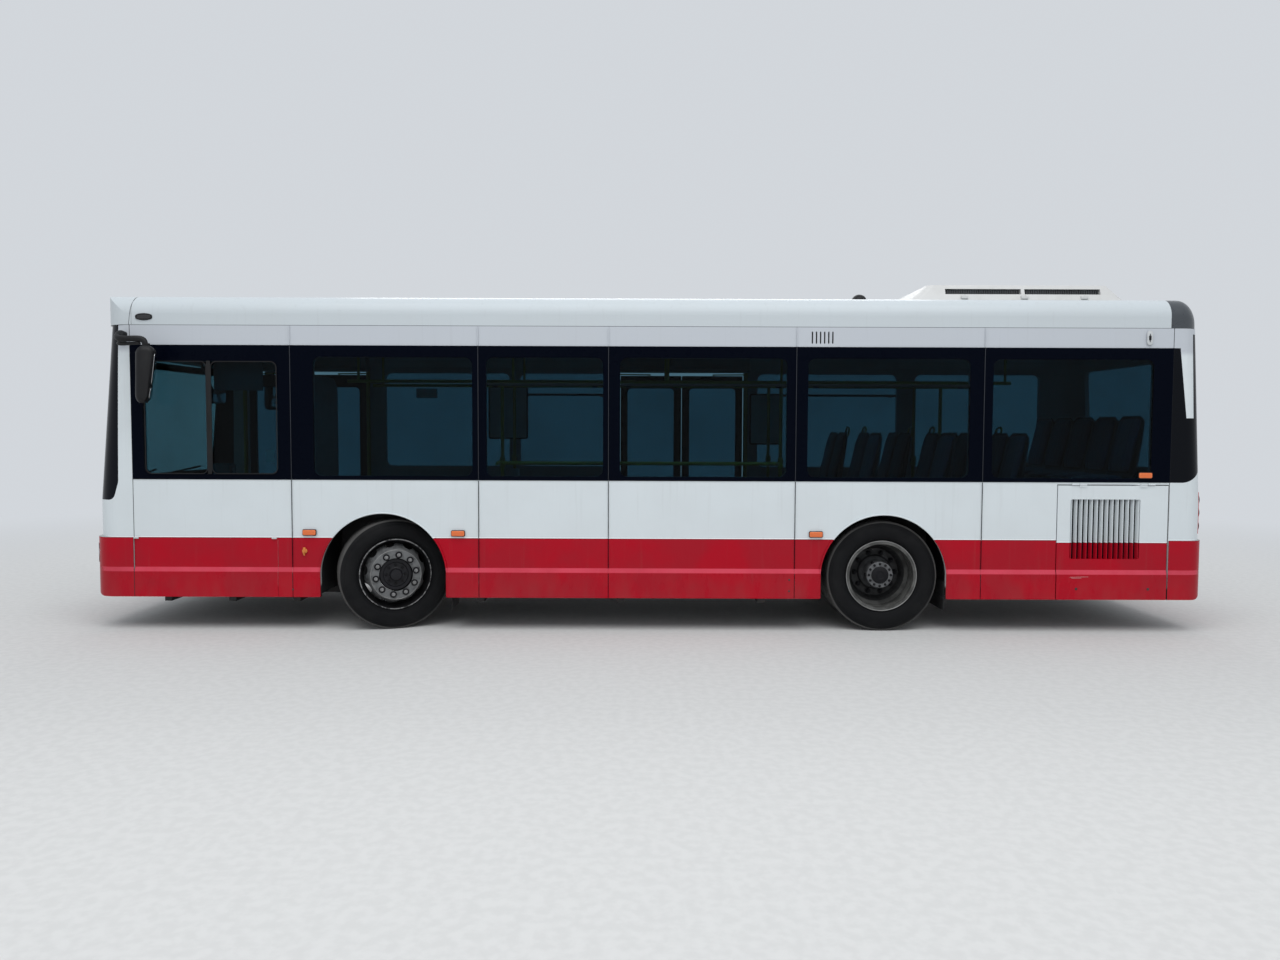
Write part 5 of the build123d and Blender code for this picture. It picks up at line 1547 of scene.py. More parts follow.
@dataclass
class Rear(Part):
    """Tail lamp lenses, hatch fittings, blank plate, reflectors, and the black sheet of painted shade behind
    the side flap's grille.
    """

    lamp_y: float = 1.005
    grille: tuple[float, float, float, float] = (-4.123, -3.542, 0.622, 1.122)
    scratches: tuple[tuple[Point, Point], ...] = (
        ((-3.545, 0.0, 0.47), (-3.7, 0.0, 0.474)), ((-3.56, 0.0, 0.462), (-3.64, 0.0, 0.463)),
    )
    fasteners: Rows = ((-1.2, 0.345), (-1.2, 0.44), (2.95, 0.345))

    def lens(self, radius: float) -> Surface:
        """Round domed lens facing +Y: its height falls with the square of the distance from its middle."""
        r = np.linspace(radius, 0, 9)
        dome = np.stack([r, 0.007 + 0.01 * (1 - (r / radius) ** 2)], -1)
        return turned(np.vstack([[(0.0, -0.004), (radius, -0.004)], dome]), 40)

    def lamps(self) -> None:
        """Three round lamps on each tail lamp: turn signal, brake and reversing, with their rims."""
        ring = turned([(0.045, -0.002), (0.051, -0.002), (0.051, 0.006), (0.045, 0.009), (0.045, -0.002)], 40)
        rims = []
        for label, z, finish in (("turn", 1.118, LENS_ORANGE), ("brake", 1.005, LENS_RED),
                                 ("reverse", 0.892, LENS_CLEAR)):
            place = (0.0, self.lamp_y, z)
            rims.append(laid(ring, "tail_lamps", place, Look.AHEAD))
            self.piece(f"{label}_lamps", laid(self.lens(0.044), "tail_lamps", place, Look.AHEAD), finish,
                       side=Side.BOTH)
        self.piece("tail_lamp_rims", rims, BLACK_TRIM, side=Side.BOTH)

    def hatch(self) -> None:
        """Plate, handles and plate lights on the engine hatch."""
        node = "engine_hatch"
        self.piece("rear_plate", blank_plate(node, 0.74, Look.AHEAD), NOTICE, node)
        handle = (frame_ring(0.11, 0.036, 0.017, 0.008, 0.006), plate(0.096, 0.024, 0.008, 0.011, 0.003))
        handles = [laid(shape, node, (0.0, y, 0.66), Look.AHEAD) for y in (-0.62, 0.62) for shape in handle]
        self.piece("hatch_handles", handles, BLACK_TRIM, node)
        light = block((-0.03, -0.004, -0.012), (0.03, 0.022, 0.012))
        self.piece("plate_lights", [laid(light, node, (0.0, y, 0.835), Look.AHEAD) for y in (-0.2, 0.2)],
                   BLACK_TRIM, node)

    def flap(self) -> None:
        """A black sheet of painted shade behind the grille, scratches and catches on the engine's side flap.
        """
        node = "engine_side_flap"
        x0, x1, z0, z1 = self.grille
        # Painted shade: a black sheet just behind the louvres, so that the gaps between them look dark.
        sheet = block((x0 - 0.01, INNER_Y + 0.0005, z0 - 0.01), (x1 + 0.01, INNER_Y + 0.003, z1 + 0.01),
                      0.0005)
        self.piece("grille_backing", sheet, BLACK_PRINT, node)
        lines = [np.linspace(start, end, 9) for start, end in self.scratches]
        for line in lines:
            line[:, 1] = BODY_Y - 0.0004 + 0.0006 * np.abs(np.sin(9 * line[:, 0]))
        self.piece("flap_scratch", [swept(line, 0.0012, 6) for line in lines], SCRATCH, node)
        catch = turned([(0.0, 0.0), (0.011, 0.0), (0.011, 0.002), (0.007, 0.004), (0.0, 0.004)], 20)
        catches = [catch.placed((x, BODY_Y - 0.0002, 0.372)) for x in (-3.6, -4.2)]
        self.piece("flap_catches", catches, DARK_STEEL, node)

    def build(self) -> None:
        """All pieces of the rear."""
        self.lamps()
        self.hatch()
        reflectors = [laid(plate(0.11, 0.05, 0.008, 0.012, 0.003), "rear_bumper", (0.0, y, 0.64), Look.AHEAD)
                      for y in (-0.98, 0.98)]
        lamp = plate(0.08, 0.026, 0.022, 0.01, 0.004)
        reflectors += [lamp.placed((-4.588, y, 2.6), turn_matrix(Axis.Z, 90.0)) for y in (-0.72, 0.72)]
        self.piece("rear_reflectors", reflectors, LENS_RED)
        self.flap()
        screw = turned([(0.0, 0.0), (0.008, 0.0), (0.008, 0.0016), (0.005, 0.003), (0.0, 0.003)], 16)
        screws = [screw.placed((x, BODY_Y - 0.0002, z)) for x, z in self.fasteners]
        self.piece("skirt_fasteners", screws, DARK_STEEL, side=Side.BOTH)


@dataclass
class Roof(Part):
    """Antenna dome, fin, pod grilles and brackets, rounded rear cap, and hatch handles."""

    dome: tuple[float, float] = (-1.911, 0.45)
    fin: tuple[float, float] = (1.62, 0.0)
    pod_slots: tuple[float, ...] = (-3.62, -2.93)
    pod_feet: tuple[float, ...] = (-2.76, -3.28, -3.8)
    hatches: tuple[float, ...] = (0.945, -1.088)
    cap_x: tuple[float, float, float] = (-4.337, -4.438, -4.608)
    cap_corner: tuple[float, float] = (1.013, 0.15)

    def antenna_dome(self) -> Surface:
        """Round dome on a low base, about the Z axis: its height is a quarter ellipse of the radius."""
        t = np.linspace(0, pi / 2, 10)
        cap = np.stack([0.066 * np.cos(t), 0.03 + 0.058 * np.sin(t)], -1)
        profile = np.vstack([[(0.0, 0.0), (0.072, 0.0), (0.072, 0.024), (0.069, 0.028)], cap])
        return turned(profile, 40).placed(matrix=turn_matrix(Axis.X, 90.0))

    def antenna_fin(self) -> Surface:
        """Slanted shark fin: rounded sections that shorten, thin and slide rearwards as they climb."""
        rings = []
        for t in np.linspace(0, 1, 8):
            thin = 1 - 0.6 * t
            flat = rounded_rectangle(0.11 * (1 - 0.75 * t), 0.03 * thin, 0.014 * thin, 4)
            rings.append(stood(flat - [0.04 * t, 0.0], 0.052 * t, Axis.Z))
        return skin(rings)

    def cap(self) -> Surface:
        """Rear roof cap, rounded over at its top rear edge and corners.

        Lines run from the plan outline (side, quarter circle of 150 mm, bowed rear) to the cap's front joint.
        The height grows with the distance D from the outline: on the sides as an 84 mm wall and a quarter
        circle of 150 mm, at the rear as a quarter ellipse 130 mm deep and 234 mm high, and round the corner
        as their mean weighted by the angle. The crown adds a parabola across the roof.

        Returns:
            The closed shell.
        """
        (front, corner_x, rear), (corner_y, r) = self.cap_x, self.cap_corner
        turn = np.linspace(0, pi / 2, 19)
        middle = np.linspace(corner_y, 0, 25)[1:]
        half_x = np.concatenate([corner_x - r * np.sin(turn), rear + 0.02 * (middle / corner_y) ** 2])
        half_y = np.concatenate([corner_y + r * np.cos(turn), middle])
        foot_x = np.concatenate([half_x, half_x[-2::-1]])[:, None]
        foot_y = np.concatenate([half_y, -half_y[-2::-1]])[:, None]
        t = np.concatenate([0.5 * (1 - np.cos(np.linspace(0, pi / 2, 16))), np.linspace(0.5, 1, 6)[1:]])[None]
        x, y = foot_x + (front - foot_x) * t, foot_y + 0 * t
        beyond_x, beyond_y = np.maximum(corner_x - x, 0), np.maximum(np.abs(y) - corner_y, 0)
        in_corner, bow = r - np.hypot(beyond_x, beyond_y), rear + 0.02 * (y / corner_y) ** 2
        depth = np.maximum(np.where(beyond_y > 0, in_corner, x - bow), 0)
        weight = np.where(beyond_y > 0, np.arctan2(beyond_x, beyond_y) / (pi / 2), 1.0)
        side_rise = np.sqrt(np.maximum(r**2 - np.maximum(r - depth, 0) ** 2, 0))
        side_rise += 0.084 * np.minimum(depth / 0.001, 1)
        rear_rise = 0.234 * np.sqrt(np.maximum(1 - np.maximum(1 - depth / 0.13, 0) ** 2, 0))
        crown = 0.055 * (1 - (y / (corner_y + r)) ** 2) * np.minimum(depth / r, 1)
        outer = np.stack([x, y, COVE_Z + (1 - weight) * side_rise + weight * rear_rise + crown], -1)
        inner = outer + (np.array([-4.4, 0.0, COVE_Z]) - outer) * [0.03, 0.006, 0.03]
        return skin(np.concatenate([outer, inner[:, ::-1]], 1)[::-1])

    def pod_y(self, x: float, z: float) -> float:
        """Distance of the pod's left skin from the middle."""
        return float(hit("air_conditioner", (x, 0.0, z), Look.FROM_LEFT)[0][1])

    def pod(self) -> None:
        """Slots with their bars in the pod's flanks."""
        bars, backs = [], []
        for x in self.pod_slots:
            y = self.pod_y(x, 2.905)
            backs.append(block((x - 0.328, y - 0.003, 2.8775), (x + 0.328, y + 0.002, 2.9225), 0.0008))
            bars += [block((x + k - 0.0015, y + 0.001, 2.88), (x + k + 0.0015, y + 0.01, 2.92), 0.0006)
                     for k in np.linspace(-0.31, 0.31, 32)]
        self.piece("pod_grilles", bars, BLACK_TRIM, side=Side.BOTH)
        self.piece("pod_slots", backs, SLOT_GREY, side=Side.BOTH)

    def build(self) -> None:
        """All pieces of the roof."""
        for name, shape, foot in (("dome", self.antenna_dome(), self.dome),
                                  ("fin", self.antenna_fin(), self.fin)):
            top, _ = hit("roof_shell", (*foot, 0.0), Look.DOWN)
            self.piece(f"antenna_{name}", shape.placed(top - [0, 0, 0.002]), BLACK_TRIM)
        self.pod()
        self.piece("rounded_roof_cap", self.cap(), CAP_GREY, replaces=("rear_roof_cap",))
        feet = []
        for x in self.pod_feet:
            y = self.pod_y(x, 2.852)
            feet += [block((x - 0.03, y - 0.004, 2.835), (x + 0.03, y + 0.022, 2.862), 0.003),
                     nut(0.008, 0.008).placed((x, y + 0.011, 2.862), turn_matrix(Axis.X, 90.0))]
        self.piece("pod_brackets", feet, POD_SHELL, side=Side.BOTH)
        grips = []
        for x in self.hatches:
            z = hit("roof_hatches", (x, 0.0, 0.0), Look.DOWN)[0][2]
            grips.append(swept(smooth_path([(x, -0.09, z - 0.004), (x, -0.08, z + 0.022), (x, 0.0, z + 0.026),
                                            (x, 0.08, z + 0.022), (x, 0.09, z - 0.004)], 6), 0.007))
        self.piece("hatch_grips", grips, BLACK_TRIM)


@dataclass
class Mirrors(Part):
    """Mirror heads with their glass, on swept double arms from the front pillars."""

    head_y: float = 1.353
    head_width: float = 0.2
    head_z: tuple[float, float] = (1.89, 2.35)
    head_x: tuple[float, float] = (3.97, 4.131)
    root: Point = (4.31, 1.143, 2.458)
    arm_x: float = 4.041
    arm_z: float = 2.41
    turned_in: float = 20.0

    def swept_back(self, surface: Surface) -> Surface:
        """A piece of the head bent to its shape.

        The rear face slides forward towards the bottom with the 1.5th power of the drop, the brow leans back
        towards the top with its cube, and the width shrinks towards the front with the square. Then the head
        is turned about its stem until its glass looks at the driver.

        Args:
            surface: the straight piece, at its place.

        Returns:
            The bent piece.
        """
        points = surface.points.copy()
        ahead = np.clip((points[:, 0] - self.head_x[0]) / np.ptp(self.head_x), 0, 1)
        rise = np.clip((points[:, 2] - self.head_z[0]) / np.ptp(self.head_z), 0, 1)
        points[:, 0] += (1 - ahead) * 0.058 * (1 - rise) ** 1.5
        points[:, 0] -= ahead * (0.026 * rise**3 + 0.014 * (1 - rise) ** 3)
        points[:, 1] = self.head_y + (points[:, 1] - self.head_y) * (1 - 0.22 * ahead**2)
        stem = np.array([self.arm_x, self.head_y, 0.0])
        turn = turn_matrix(Axis.Z, self.turned_in)
        return Surface((points - stem) @ turn.T + stem, surface.quads, surface.caps)

    def head(self) -> Surface:
        """Housing of one head."""
        body = plate(np.ptp(self.head_x), np.ptp(self.head_z), self.head_width, 0.06, 0.044, 10)
        return self.swept_back(body.placed((sum(self.head_x) / 2, self.head_y - self.head_width / 2,
                                            sum(self.head_z) / 2)))

    def arms(self) -> list[Surface]:
        """Two bars from the pillar, one above the other, that meet over the head, with root pad and clamp."""
        (x, y, z), top, arm, head = self.root, self.arm_z, self.arm_x, self.head_y
        upper = smooth_path([(x, y, z), (x, y + 0.1, z + 0.006), (x - 0.02, head - 0.03, top + 0.012),
                             (x - 0.1, head, top), (arm + 0.03, head, top - 0.006),
                             (arm, head, self.head_z[1] - 0.02)], 7)
        lower = smooth_path([(x, y, z - 0.062), (x, y + 0.09, z - 0.066), (x - 0.04, head - 0.03, top - 0.04),
                             (arm + 0.05, head, top - 0.036)], 7)
        pad = plate(0.078, 0.17, 0.024, 0.034, 0.008, 6).placed((x, y - 0.008, z - 0.03))
        clamp = bar((arm, head, self.head_z[1] - 0.012), (arm, head, self.head_z[1] + 0.022), 0.03, 20)
        return [swept(upper, 0.021, 14, 1.15), swept(lower, 0.014, 12), pad, clamp]

    def build(self) -> None:
        """Heads, arms and glass of both sides."""
        self.piece("mirror_heads", self.head(), BLACK_TRIM, side=Side.BOTH, replaces=("mirrors",))
        self.piece("mirror_arms", self.arms(), BLACK_TRIM, side=Side.BOTH)
        glass = [plate(0.15, height, 0.005, 0.028, 0.003)
                 .placed((self.head_x[0] + 0.002, self.head_y, z), turn_matrix(Axis.Z, 90.0))
                 for z, height in ((2.165, 0.25), (1.97, 0.09))]
        self.piece("mirror_glass", self.swept_back(joined(glass)), CHROME, side=Side.BOTH)


@dataclass
class Doors(Part):
    """Rubber edges between the leaves, and the opening buttons beside the doorways."""

    doorways: tuple[tuple[str, float, float], ...] = (
        ("front_door", 2.96, 4.23), ("centre_door", -1.05, 0.27),
    )
    leaf_y: float = -1.146
    height: tuple[float, float] = (0.362, 2.258)

    def build(self) -> None:
        """One rubber on the meeting edge of each leaf, and a button in each doorway's pillar."""
        for name, rear, front in self.doorways:
            for end, way in (("rear", 1.0), ("front", -1.0)):
                edge = (rear + front) / 2 - way * 0.008
                strip = block((edge - way * 0.001, self.leaf_y - 0.013, self.height[0]),
                              (edge + way * 0.005, self.leaf_y + 0.013, self.height[1]), 0.002)
                self.piece(f"{name}_{end}_rubber", strip, RUBBER, f"{name}_{end}_wing", slot="door_frame")
        spots = [(rear - 0.11, WALL_Y - 0.0005, 1.335) for _, rear, _ in self.doorways]
        ring, cap = frame_ring(0.05, 0.05, 0.0249, 0.01, 0.006), plate(0.048, 0.048, 0.009, 0.0238, 0.004)
        self.piece("door_button_rings", map(ring.placed, spots), BLACK_TRIM, side=Side.RIGHT)
        self.piece("door_buttons", map(cap.placed, spots), BUTTON_GREEN, side=Side.RIGHT)


@dataclass
class Pad:
    """One stuffed pad: its size, how far it may swell, its grid in the simulation, and its sewn channels."""

    length: float
    width: float
    depth: float
    cap: float
    grid: float
    channels: tuple[float, ...] = ()
    steps: int = 20
    pressure: float = 4.0

    def base(self) -> Surface:
        """Pillow-like closed form before it swells.

        Each coordinate is a signed power of the sphere's: along = cos(a) ** 0.3 * cos(b) ** 0.35 and so on,
        with the height's power 0.8, so the sides stay full and the faces are crowned.

        Returns:
            The closed form, centred on the origin.
        """
        b = np.linspace(-pi / 2 + 0.02, pi / 2 - 0.02, 17)[:, None]
        a = full_turn(72)[None]

        def power(value: Array, exponent: float) -> Array:
            """Signed power."""
            return np.sign(value) * np.abs(value) ** exponent

        return skin(np.stack([self.length / 2 * power(np.cos(b), 0.35) * power(np.cos(a), 0.3),
                              self.width / 2 * power(np.cos(b), 0.35) * power(np.sin(a), 0.3),
                              self.depth / 2 * power(np.sin(b), 0.8) + 0 * a], -1))

    def evaluated(self, thing: bpy.types.Object) -> bpy.types.Mesh:
        """A new mesh of the object with its modifiers."""
        return bpy.data.meshes.new_from_object(thing.evaluated_get(bpy.context.evaluated_depsgraph_get()))

    def swelled(self) -> Surface:
        """The pad after cloth simulation: remeshed evenly, blown up without gravity, its movement capped.

        Returns: The swelled pad.
        """
        scene, mesh = bpy.context.scene, self.base().mesh("pad_base")
        thing = linked("pad_base", mesh)
        remesh = thing.modifiers.new("grid", "REMESH")
        remesh.mode, remesh.voxel_size = "VOXEL", self.grid
        even = self.evaluated(thing)
        thing.modifiers.clear()
        thing.data = even
        moved = start = vertices(even)
        cloth = thing.modifiers.new("cloth", "CLOTH")
        cloth.settings.quality = 5
        cloth.settings.use_pressure = True
        cloth.settings.uniform_pressure_force = self.pressure
        cloth.settings.effector_weights.gravity = 0.0
        cloth.point_cache.frame_start, cloth.point_cache.frame_end = 1, self.steps
        for number in range(1, self.steps + 1):
            scene.frame_set(number)
        blown = self.evaluated(thing)
        way = vertices(blown) - start
        reach = np.linalg.norm(way, axis=1, keepdims=True)
        moved = start + way * np.minimum(1.0, self.cap / np.maximum(reach, 1e-9))
        bpy.data.meshes.remove(blown)
        scene.frame_set(1)
        faces = [tuple(face.vertices) for face in even.polygons]
        bpy.data.objects.remove(thing)
        bpy.data.meshes.remove(even)
        bpy.data.meshes.remove(mesh)
        return Surface(moved, np.array([f for f in faces if len(f) == 4]), [f for f in faces if len(f) != 4])

    def make(self) -> Surface:
        """The swelled pad, lowered by a bell curve of the distance from each channel along X."""
        pad = self.swelled()
        for place in self.channels:
            dip = 0.006 * np.exp(-(((pad.points[:, 1] - place * self.width / 2) / 0.011) ** 2))
            pad.points[:, 2] -= dip * np.clip(pad.points[:, 2] / 0.01, 0, 1)
        return pad

    def piping(self, over: float) -> Surface:
        """Round cord sewn along the pad's edge, longer and wider than the pad by a length."""
        flat = rounded_rectangle(self.length + over, self.width + over, 0.045, 8)
        return looped(stood(flat, 0.0, Axis.Z), 0.0035, 6)


@dataclass
class Seats(Part):
    """Passenger and driver's seats: moulded shells, padded cushions and backs, beams, feet and handles."""

    width: float = 0.425
    pitch: float = 0.436
    pair_middle: float = 0.6755
    rows: Rows = (
        (-1.698, 1.04, 1.04), (-2.318, 1.04, 1.04), (-2.93, 0.68, 1.04),
    )
    bench_x: float = -3.9
    bench_z: float = 1.24
    bench_pitch: float = 0.43775
    driver: Point = (3.35, 0.64, 0.9)
    back_lean: float = 13.2
    cushion: Pad = field(default_factory=lambda: Pad(0.345, 0.385, 0.044, 0.007, 0.01, (-0.55, 0.55)))
    back: Pad = field(default_factory=lambda: Pad(0.48, 0.372, 0.038, 0.007, 0.01, (-0.5, 0.5)))
    driver_cushion: Pad = field(default_factory=lambda: Pad(0.35, 0.395, 0.048, 0.008, 0.007, (0.0,)))
    driver_back: Pad = field(default_factory=lambda: Pad(0.49, 0.385, 0.044, 0.008, 0.007, (-0.5, 0.5)))
    head_rest: Pad = field(default_factory=lambda: Pad(0.19, 0.21, 0.044, 0.005, 0.006))

    def shell(self) -> Surface:
        """Moulded shell of one seat.

        Its section is a flat strip whose edges curl towards the sitter with the fourth power of the place
        across, carried along the seat's side profile from the front lip to the top of the back, and narrowed
        to round corners at both ends.

        Returns:
            The closed shell, round the cushion's middle.
        """
        path = smooth_path([(0.203, 0, 0.018), (0.06, 0, 0.011), (-0.11, 0, 0.012), (-0.195, 0, 0.04),
                            (-0.232, 0, 0.14), (-0.262, 0, 0.32), (-0.2935, 0, 0.58)], 7)
        along = np.concatenate([[0], np.cumsum(np.linalg.norm(np.diff(path, axis=0), axis=1))])
        normal = np.cross([0.0, 1.0, 0.0], unit(np.gradient(path, axis=0)))
        half = np.full(len(path), self.width / 2)
        for radius, from_end in ((0.085, along[-1] - along), (0.03, along)):
            half -= radius - np.sqrt(radius**2 - np.clip(radius - from_end, 0, radius) ** 2)
        across = np.linspace(-1, 1, 15)
        curl = 0.018 * across**4
        faces = []
        for lift in (0.006 + curl, -0.005 + 0.7 * curl):
            face = path[:, None] + normal[:, None] * lift[None, :, None]
            face[..., 1] += half[:, None] * across
            faces.append(face)
        return skin(np.concatenate([faces[0], faces[1][:, ::-1]], 1))

    def laid_cushion(self, surface: Surface, depth: float) -> Surface:
        """A pad's surface laid on a seat's shell, tipped like the cushion."""
        return surface.placed((0.03, 0.0, 0.022 + depth / 2), turn_matrix(Axis.Y, 2.5))

    def laid_back(self, surface: Surface, depth: float) -> Surface:
        """A pad's surface stood against a seat's back."""
        lean = turn_matrix(Axis.Y, 90.0 - self.back_lean)
        return surface.placed(np.array([-0.2295, 0.0, 0.33]) + (depth / 2 - 0.006) * lean[:, 2], lean)

    def places(self) -> list[Point]:
        """Middle of every passenger cushion, at the level of its shell's underside."""
        spots = [(x, side * self.pair_middle + k * self.pitch / 2, beam_z + 0.05)
                 for x, _, beam_z in self.rows for side in FLANKS for k in (-1, 1)]
        return spots + [(self.bench_x, k * self.bench_pitch, self.bench_z) for k in range(-2, 3)]

    def frames(self) -> list[Surface]:
        """Beams under the left pairs with their bearers, legs and feet."""
        pieces, y = [], self.pair_middle
        for x, foot_z, beam_z in self.rows:
            pieces.append(cuboid(x, y, beam_z + 0.027, 0.034, 0.428, 0.023, 0.008))
            if foot_z < beam_z:
                pieces += [block((x - 0.03, y - 0.028, foot_z), (x + 0.03, y + 0.028, beam_z + 0.01), 0.008),
                           block((x - 0.07, y - 0.06, foot_z), (x + 0.07, y + 0.06, foot_z + 0.01))]
            pieces += [cuboid(x + dx, y + k * self.pitch / 2, beam_z + 0.048, 0.012, 0.12, 0.012, 0.004)
                       for k in (-1, 1) for dx in (-0.055, 0.055)]
        return pieces

    def grip(self, side: float) -> Surface:
        """Loop on a seat's back, at its aisle corner."""
        path = [(-0.292, 0.168, 0.545), (-0.302, 0.172, 0.598), (-0.304, 0.15, 0.622), (-0.304, 0.07, 0.628),
                (-0.302, 0.045, 0.606), (-0.292, 0.045, 0.56)]
        return swept(smooth_path(np.array(path) * [1, side, 1], 5), 0.01)

    def build(self) -> None:
        """Every seat: one padded cushion and back are simulated, and copied to each place."""
        cushion = self.laid_cushion(self.cushion.make(), self.cushion.depth)
        back = self.laid_back(self.back.make(), self.back.depth)
        cords = joined([self.laid_cushion(self.cushion.piping(0.005), self.cushion.depth),
                        self.laid_back(self.back.piping(0.006), self.back.depth)])
        spots, shell = self.places(), self.shell()
        self.piece("seat_shells", map(shell.placed, spots), SEAT_SHELL, replaces=("passenger_seats",))
        self.piece("seat_frames", self.frames(), CHASSIS, side=Side.BOTH)
        case = block((-4.105, -1.055, 1.084), (-3.715, 1.055, 1.238), 0.01)
        lids = [cuboid(-3.71425, k * self.bench_pitch, 1.161, 0.00175, 0.19, 0.061, 0.003)
                for k in range(-2, 3)]
        self.piece("bench_casing", [case, *lids], PANEL_GREY)
        self.piece("seat_piping", map(cords.placed, spots), RUBBER, slot="seat_fabric")
        for number, spot in enumerate(spots):
            for label, pad in (("cushion", cushion), ("back", back)):
                self.piece(f"seat_{number:02d}_{label}", pad.placed(spot), MOQUETTE)
        grips = [self.grip(-np.sign(spot[1])).placed(spot) for spot in spots[:-5]
                 if abs(spot[1]) < self.pair_middle]
        self.piece("seat_grips", grips, RAIL_PAINT)
        self.driver_seat()

    def driver_seat(self) -> None:
        """Driver's seat: pedestal with its bellows, wide cushion, tall back and head rest."""
        x, y, _ = self.driver
        for label, pad, lay in (("cushion", self.driver_cushion, self.laid_cushion),
                                ("back", self.driver_back, self.laid_back)):
            laid_pad = lay(pad.make(), pad.depth).placed(self.driver)
            self.piece(f"driver_{label}", laid_pad, MOQUETTE)
        rest = self.head_rest.make().placed((3.055, y, 1.556), turn_matrix(Axis.Y, 84.0))
        self.piece("driver_head_rest", rest, MOQUETTE)
        posts = [bar((3.058, y + dy, 1.455), (3.066, y + dy, 1.5), 0.006) for dy in (-0.05, 0.05)]
        pedestal = block((3.245, 0.545, 0.482), (3.455, 0.735, 0.56), 0.012)
        folds = []
        for k, z in enumerate(np.linspace(0.56, 0.905, 29)):
            spread = 0.194 if k % 2 else 0.176
            folds.append(stood(rounded_rectangle(spread, spread - 0.01, 0.035, 4) + [x, y], z, Axis.Z))
        self.piece("driver_seat_shell", [self.shell().placed(self.driver), pedestal, *posts], SEAT_SHELL,
                   replaces=("driver_seat",))
        self.piece("driver_seat_bellows", skin(folds), RUBBER)


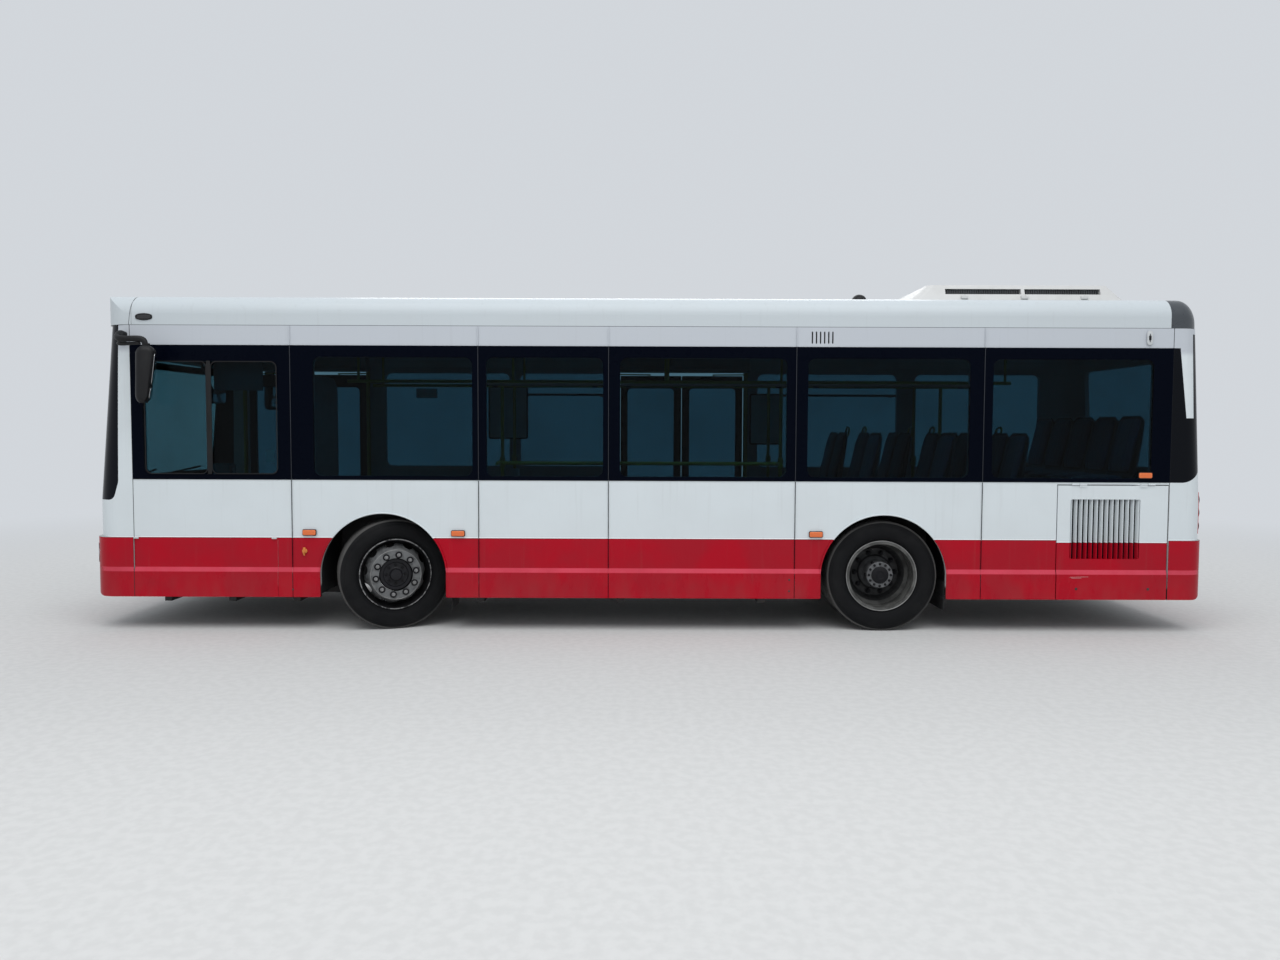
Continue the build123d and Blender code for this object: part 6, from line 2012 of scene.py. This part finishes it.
@dataclass
class Cabin(Part):
    """What shows through the glass: ceiling, ducts, boards, buttons, instruments, blind and inner mirror."""

    rail_y: float = 0.42
    boards: Rows = ((-1.45, -1.13, 1.55, 2.06), (1.26, 1.65, 1.6, 2.13))
    stanchions: tuple[float, ...] = (1.3, -1.225, -2.669)
    step_x: float = -1.29
    dash: Point = (4.0, 0.64, 1.165)
    duct_section: Rows = (
        (1.1, 2.345), (1.1, 2.56), (0.98, 2.69), (0.8, 2.735), (0.8, 2.715), (0.94, 2.64),
        (1.02, 2.52), (1.07, 2.345),
    )

    def dial(self, radius: float) -> Surface:
        """Round instrument rim with its face, facing +Y."""
        return turned([(0.0, 0.0), (radius, 0.0), (radius, 0.01), (0.9 * radius, 0.013),
                       (0.86 * radius, 0.004), (0.0, 0.004)], 32)

    def cab(self) -> None:
        """Instruments, ticket machine, blind and mirrors round the driver."""
        (x, y, z), face = self.dash, turn_matrix(Axis.Z, 90.0)
        a = np.linspace(0, pi, 13)
        hood = []
        for dy in np.linspace(-0.2, 0.2, 11):
            rise = 0.095 - 0.6 * dy**2
            arch = np.stack([x + 0.05 - 0.1 * np.cos(a), z + 0.005 + rise * np.sin(a)], -1)
            hood.append(stood(arch, y + dy))
        self.piece("instrument_hood", skin(hood), BLACK_TRIM)
        dials = [self.dial(r).placed((x - 0.052, y + dy, z + 0.045), face)
                 for dy, r in ((-0.105, 0.032), (-0.035, 0.026), (0.035, 0.026), (0.105, 0.032))]
        self.piece("instrument_dials", dials, ALLOY)
        keys = [block((x - 0.12, y + dy - 0.012, z - 0.01), (x - 0.095, y + dy + 0.012, z - 0.002), 0.002)
                for dy in np.linspace(-0.36, -0.24, 4)]
        case = block((3.86, 0.085, 1.135), (4.02, 0.245, 1.36), 0.012)
        self.piece("ticket_machine", [case, *keys], PANEL_GREY)
        self.piece("ticket_screen", block((3.856, 0.105, 1.23), (3.861, 0.225, 1.335), 0.002), DISPLAY)
        blind = block((3.205, 1.085, 2.005), (3.615, 1.089, 2.262), 0.001)
        self.piece("sun_blind", [blind, bar((3.2, 1.085, 2.268), (3.62, 1.085, 2.268), 0.016, 14)], BLIND)
        inner = plate(0.3, 0.13, 0.03, 0.04, 0.01).placed((4.07, 0.02, 1.985), face)
        arm = swept(smooth_path([(4.085, 0.02, 2.03), (4.15, 0.02, 2.16), (4.2, 0.02, 2.3)], 6), 0.009, 8)
        self.piece("inner_mirror", [inner, arm], BLACK_TRIM)
        shine = plate(0.276, 0.106, 0.003, 0.032, 0.001).placed((4.041, 0.02, 1.985), face)
        self.piece("inner_mirror_glass", shine, CHROME)

    def ceiling(self) -> None:
        """Cove panels along the eaves, a curved section carried along the bus, and the lit ceiling."""
        section = np.array(self.duct_section)
        self.piece("ceiling_ducts", skin([stood(section, x, Axis.X) for x in np.linspace(-4.15, 3.95, 9)]),
                   LINING_PANEL, side=Side.BOTH)
        self.piece("ceiling_panel", block((-4.15, -0.8, 2.73), (3.95, 0.8, 2.738), 0.002), LINING_PANEL)
        lights = [block((x, 0.55, 2.708), (x + 1.16, 0.69, 2.732), 0.012) for x in np.arange(-3.9, 3.0, 1.3)]
        self.piece("ceiling_lights", lights, DIFFUSER, side=Side.BOTH)

    def notices(self) -> None:
        """Framed boards on the right side, a hanging notice and one on the driver's window."""
        frames, panels = [], []
        for low_x, high_x, low_z, high_z in self.boards:
            size, x, z = (high_x - low_x, high_z - low_z), (low_x + high_x) / 2, (low_z + high_z) / 2
            frames.append(frame_ring(*size, 0.012, 0.016, 0.014).placed((x, 1.1, z)))
            panels.append(plate(*size, 0.005, 0.01).placed((x, 1.102, z)).mirrored())
        self.piece("board_frames", frames, BLACK_TRIM, side=Side.RIGHT)
        panels += [block((2.065, -0.42, 1.995), (2.275, -0.416, 2.09), 0.001),
                   block((3.095, 1.1485, 1.405), (3.17, 1.1492, 1.51), 0.0003)]
        self.piece("blank_notices", panels, NOTICE, slot="grey_panel")

    def stops(self) -> None:
        """Boxes on the stanchions, with a stop button on both faces."""
        boxes = [cuboid(x, self.rail_y, 1.39, 0.022, 0.028, 0.05, 0.008) for x in self.stanchions]
        self.piece("stop_boxes", boxes, RAIL_PAINT, side=Side.BOTH)
        button = plate(0.028, 0.028, 0.007, 0.0138, 0.002)
        buttons = [button.placed((x + way * 0.02, self.rail_y, 1.4), turn_matrix(Axis.Z, -90.0 * way))
                   for x in self.stanchions for way in (-1.0, 1.0)]
        self.piece("stop_buttons", buttons, LENS_RED, side=Side.BOTH)

    def build(self) -> None:
        """All pieces inside."""
        self.ceiling()
        self.notices()
        self.stops()
        self.piece("ticket_reader", block((1.255, -0.475, 1.05), (1.345, -0.365, 1.3), 0.014), FASCIA_TRIM)
        top = hit("podiums", (self.step_x - 0.05, 0.0, 0.0), Look.DOWN)[0][2]
        edge = block((self.step_x - 0.045, -0.5, top - 0.001), (self.step_x - 0.004, 0.5, top + 0.003), 0.001)
        self.piece("step_edging", edge, SAFETY_YELLOW)
        x = hit("destination_box", (0.0, 0.0, 2.42), Look.BACK)[0][0]
        rows = [block((x - 0.001, -0.66, z - 0.0012), (x + 0.003, 0.66, z + 0.0012), 0.0005)
                for z in np.linspace(2.335, 2.5, 12)]
        self.piece("display_rows", rows, DISPLAY)
        self.cab()


def main() -> None:
    """Build every sub-assembly in order. Each piece is reported as it is made."""
    logging.basicConfig(level=logging.INFO, format="%(name)s: %(message)s")
    for part in (Studio(), BodyFinish(), Wheels(), SideGlazing(), SideTrim(), Front(), Rear(), Roof(),
                 Mirrors(), Doors(), Seats(), Cabin()):
        LOG.info("building %s", type(part).__name__)
        part.build()


if __name__ == "__main__":
    main()
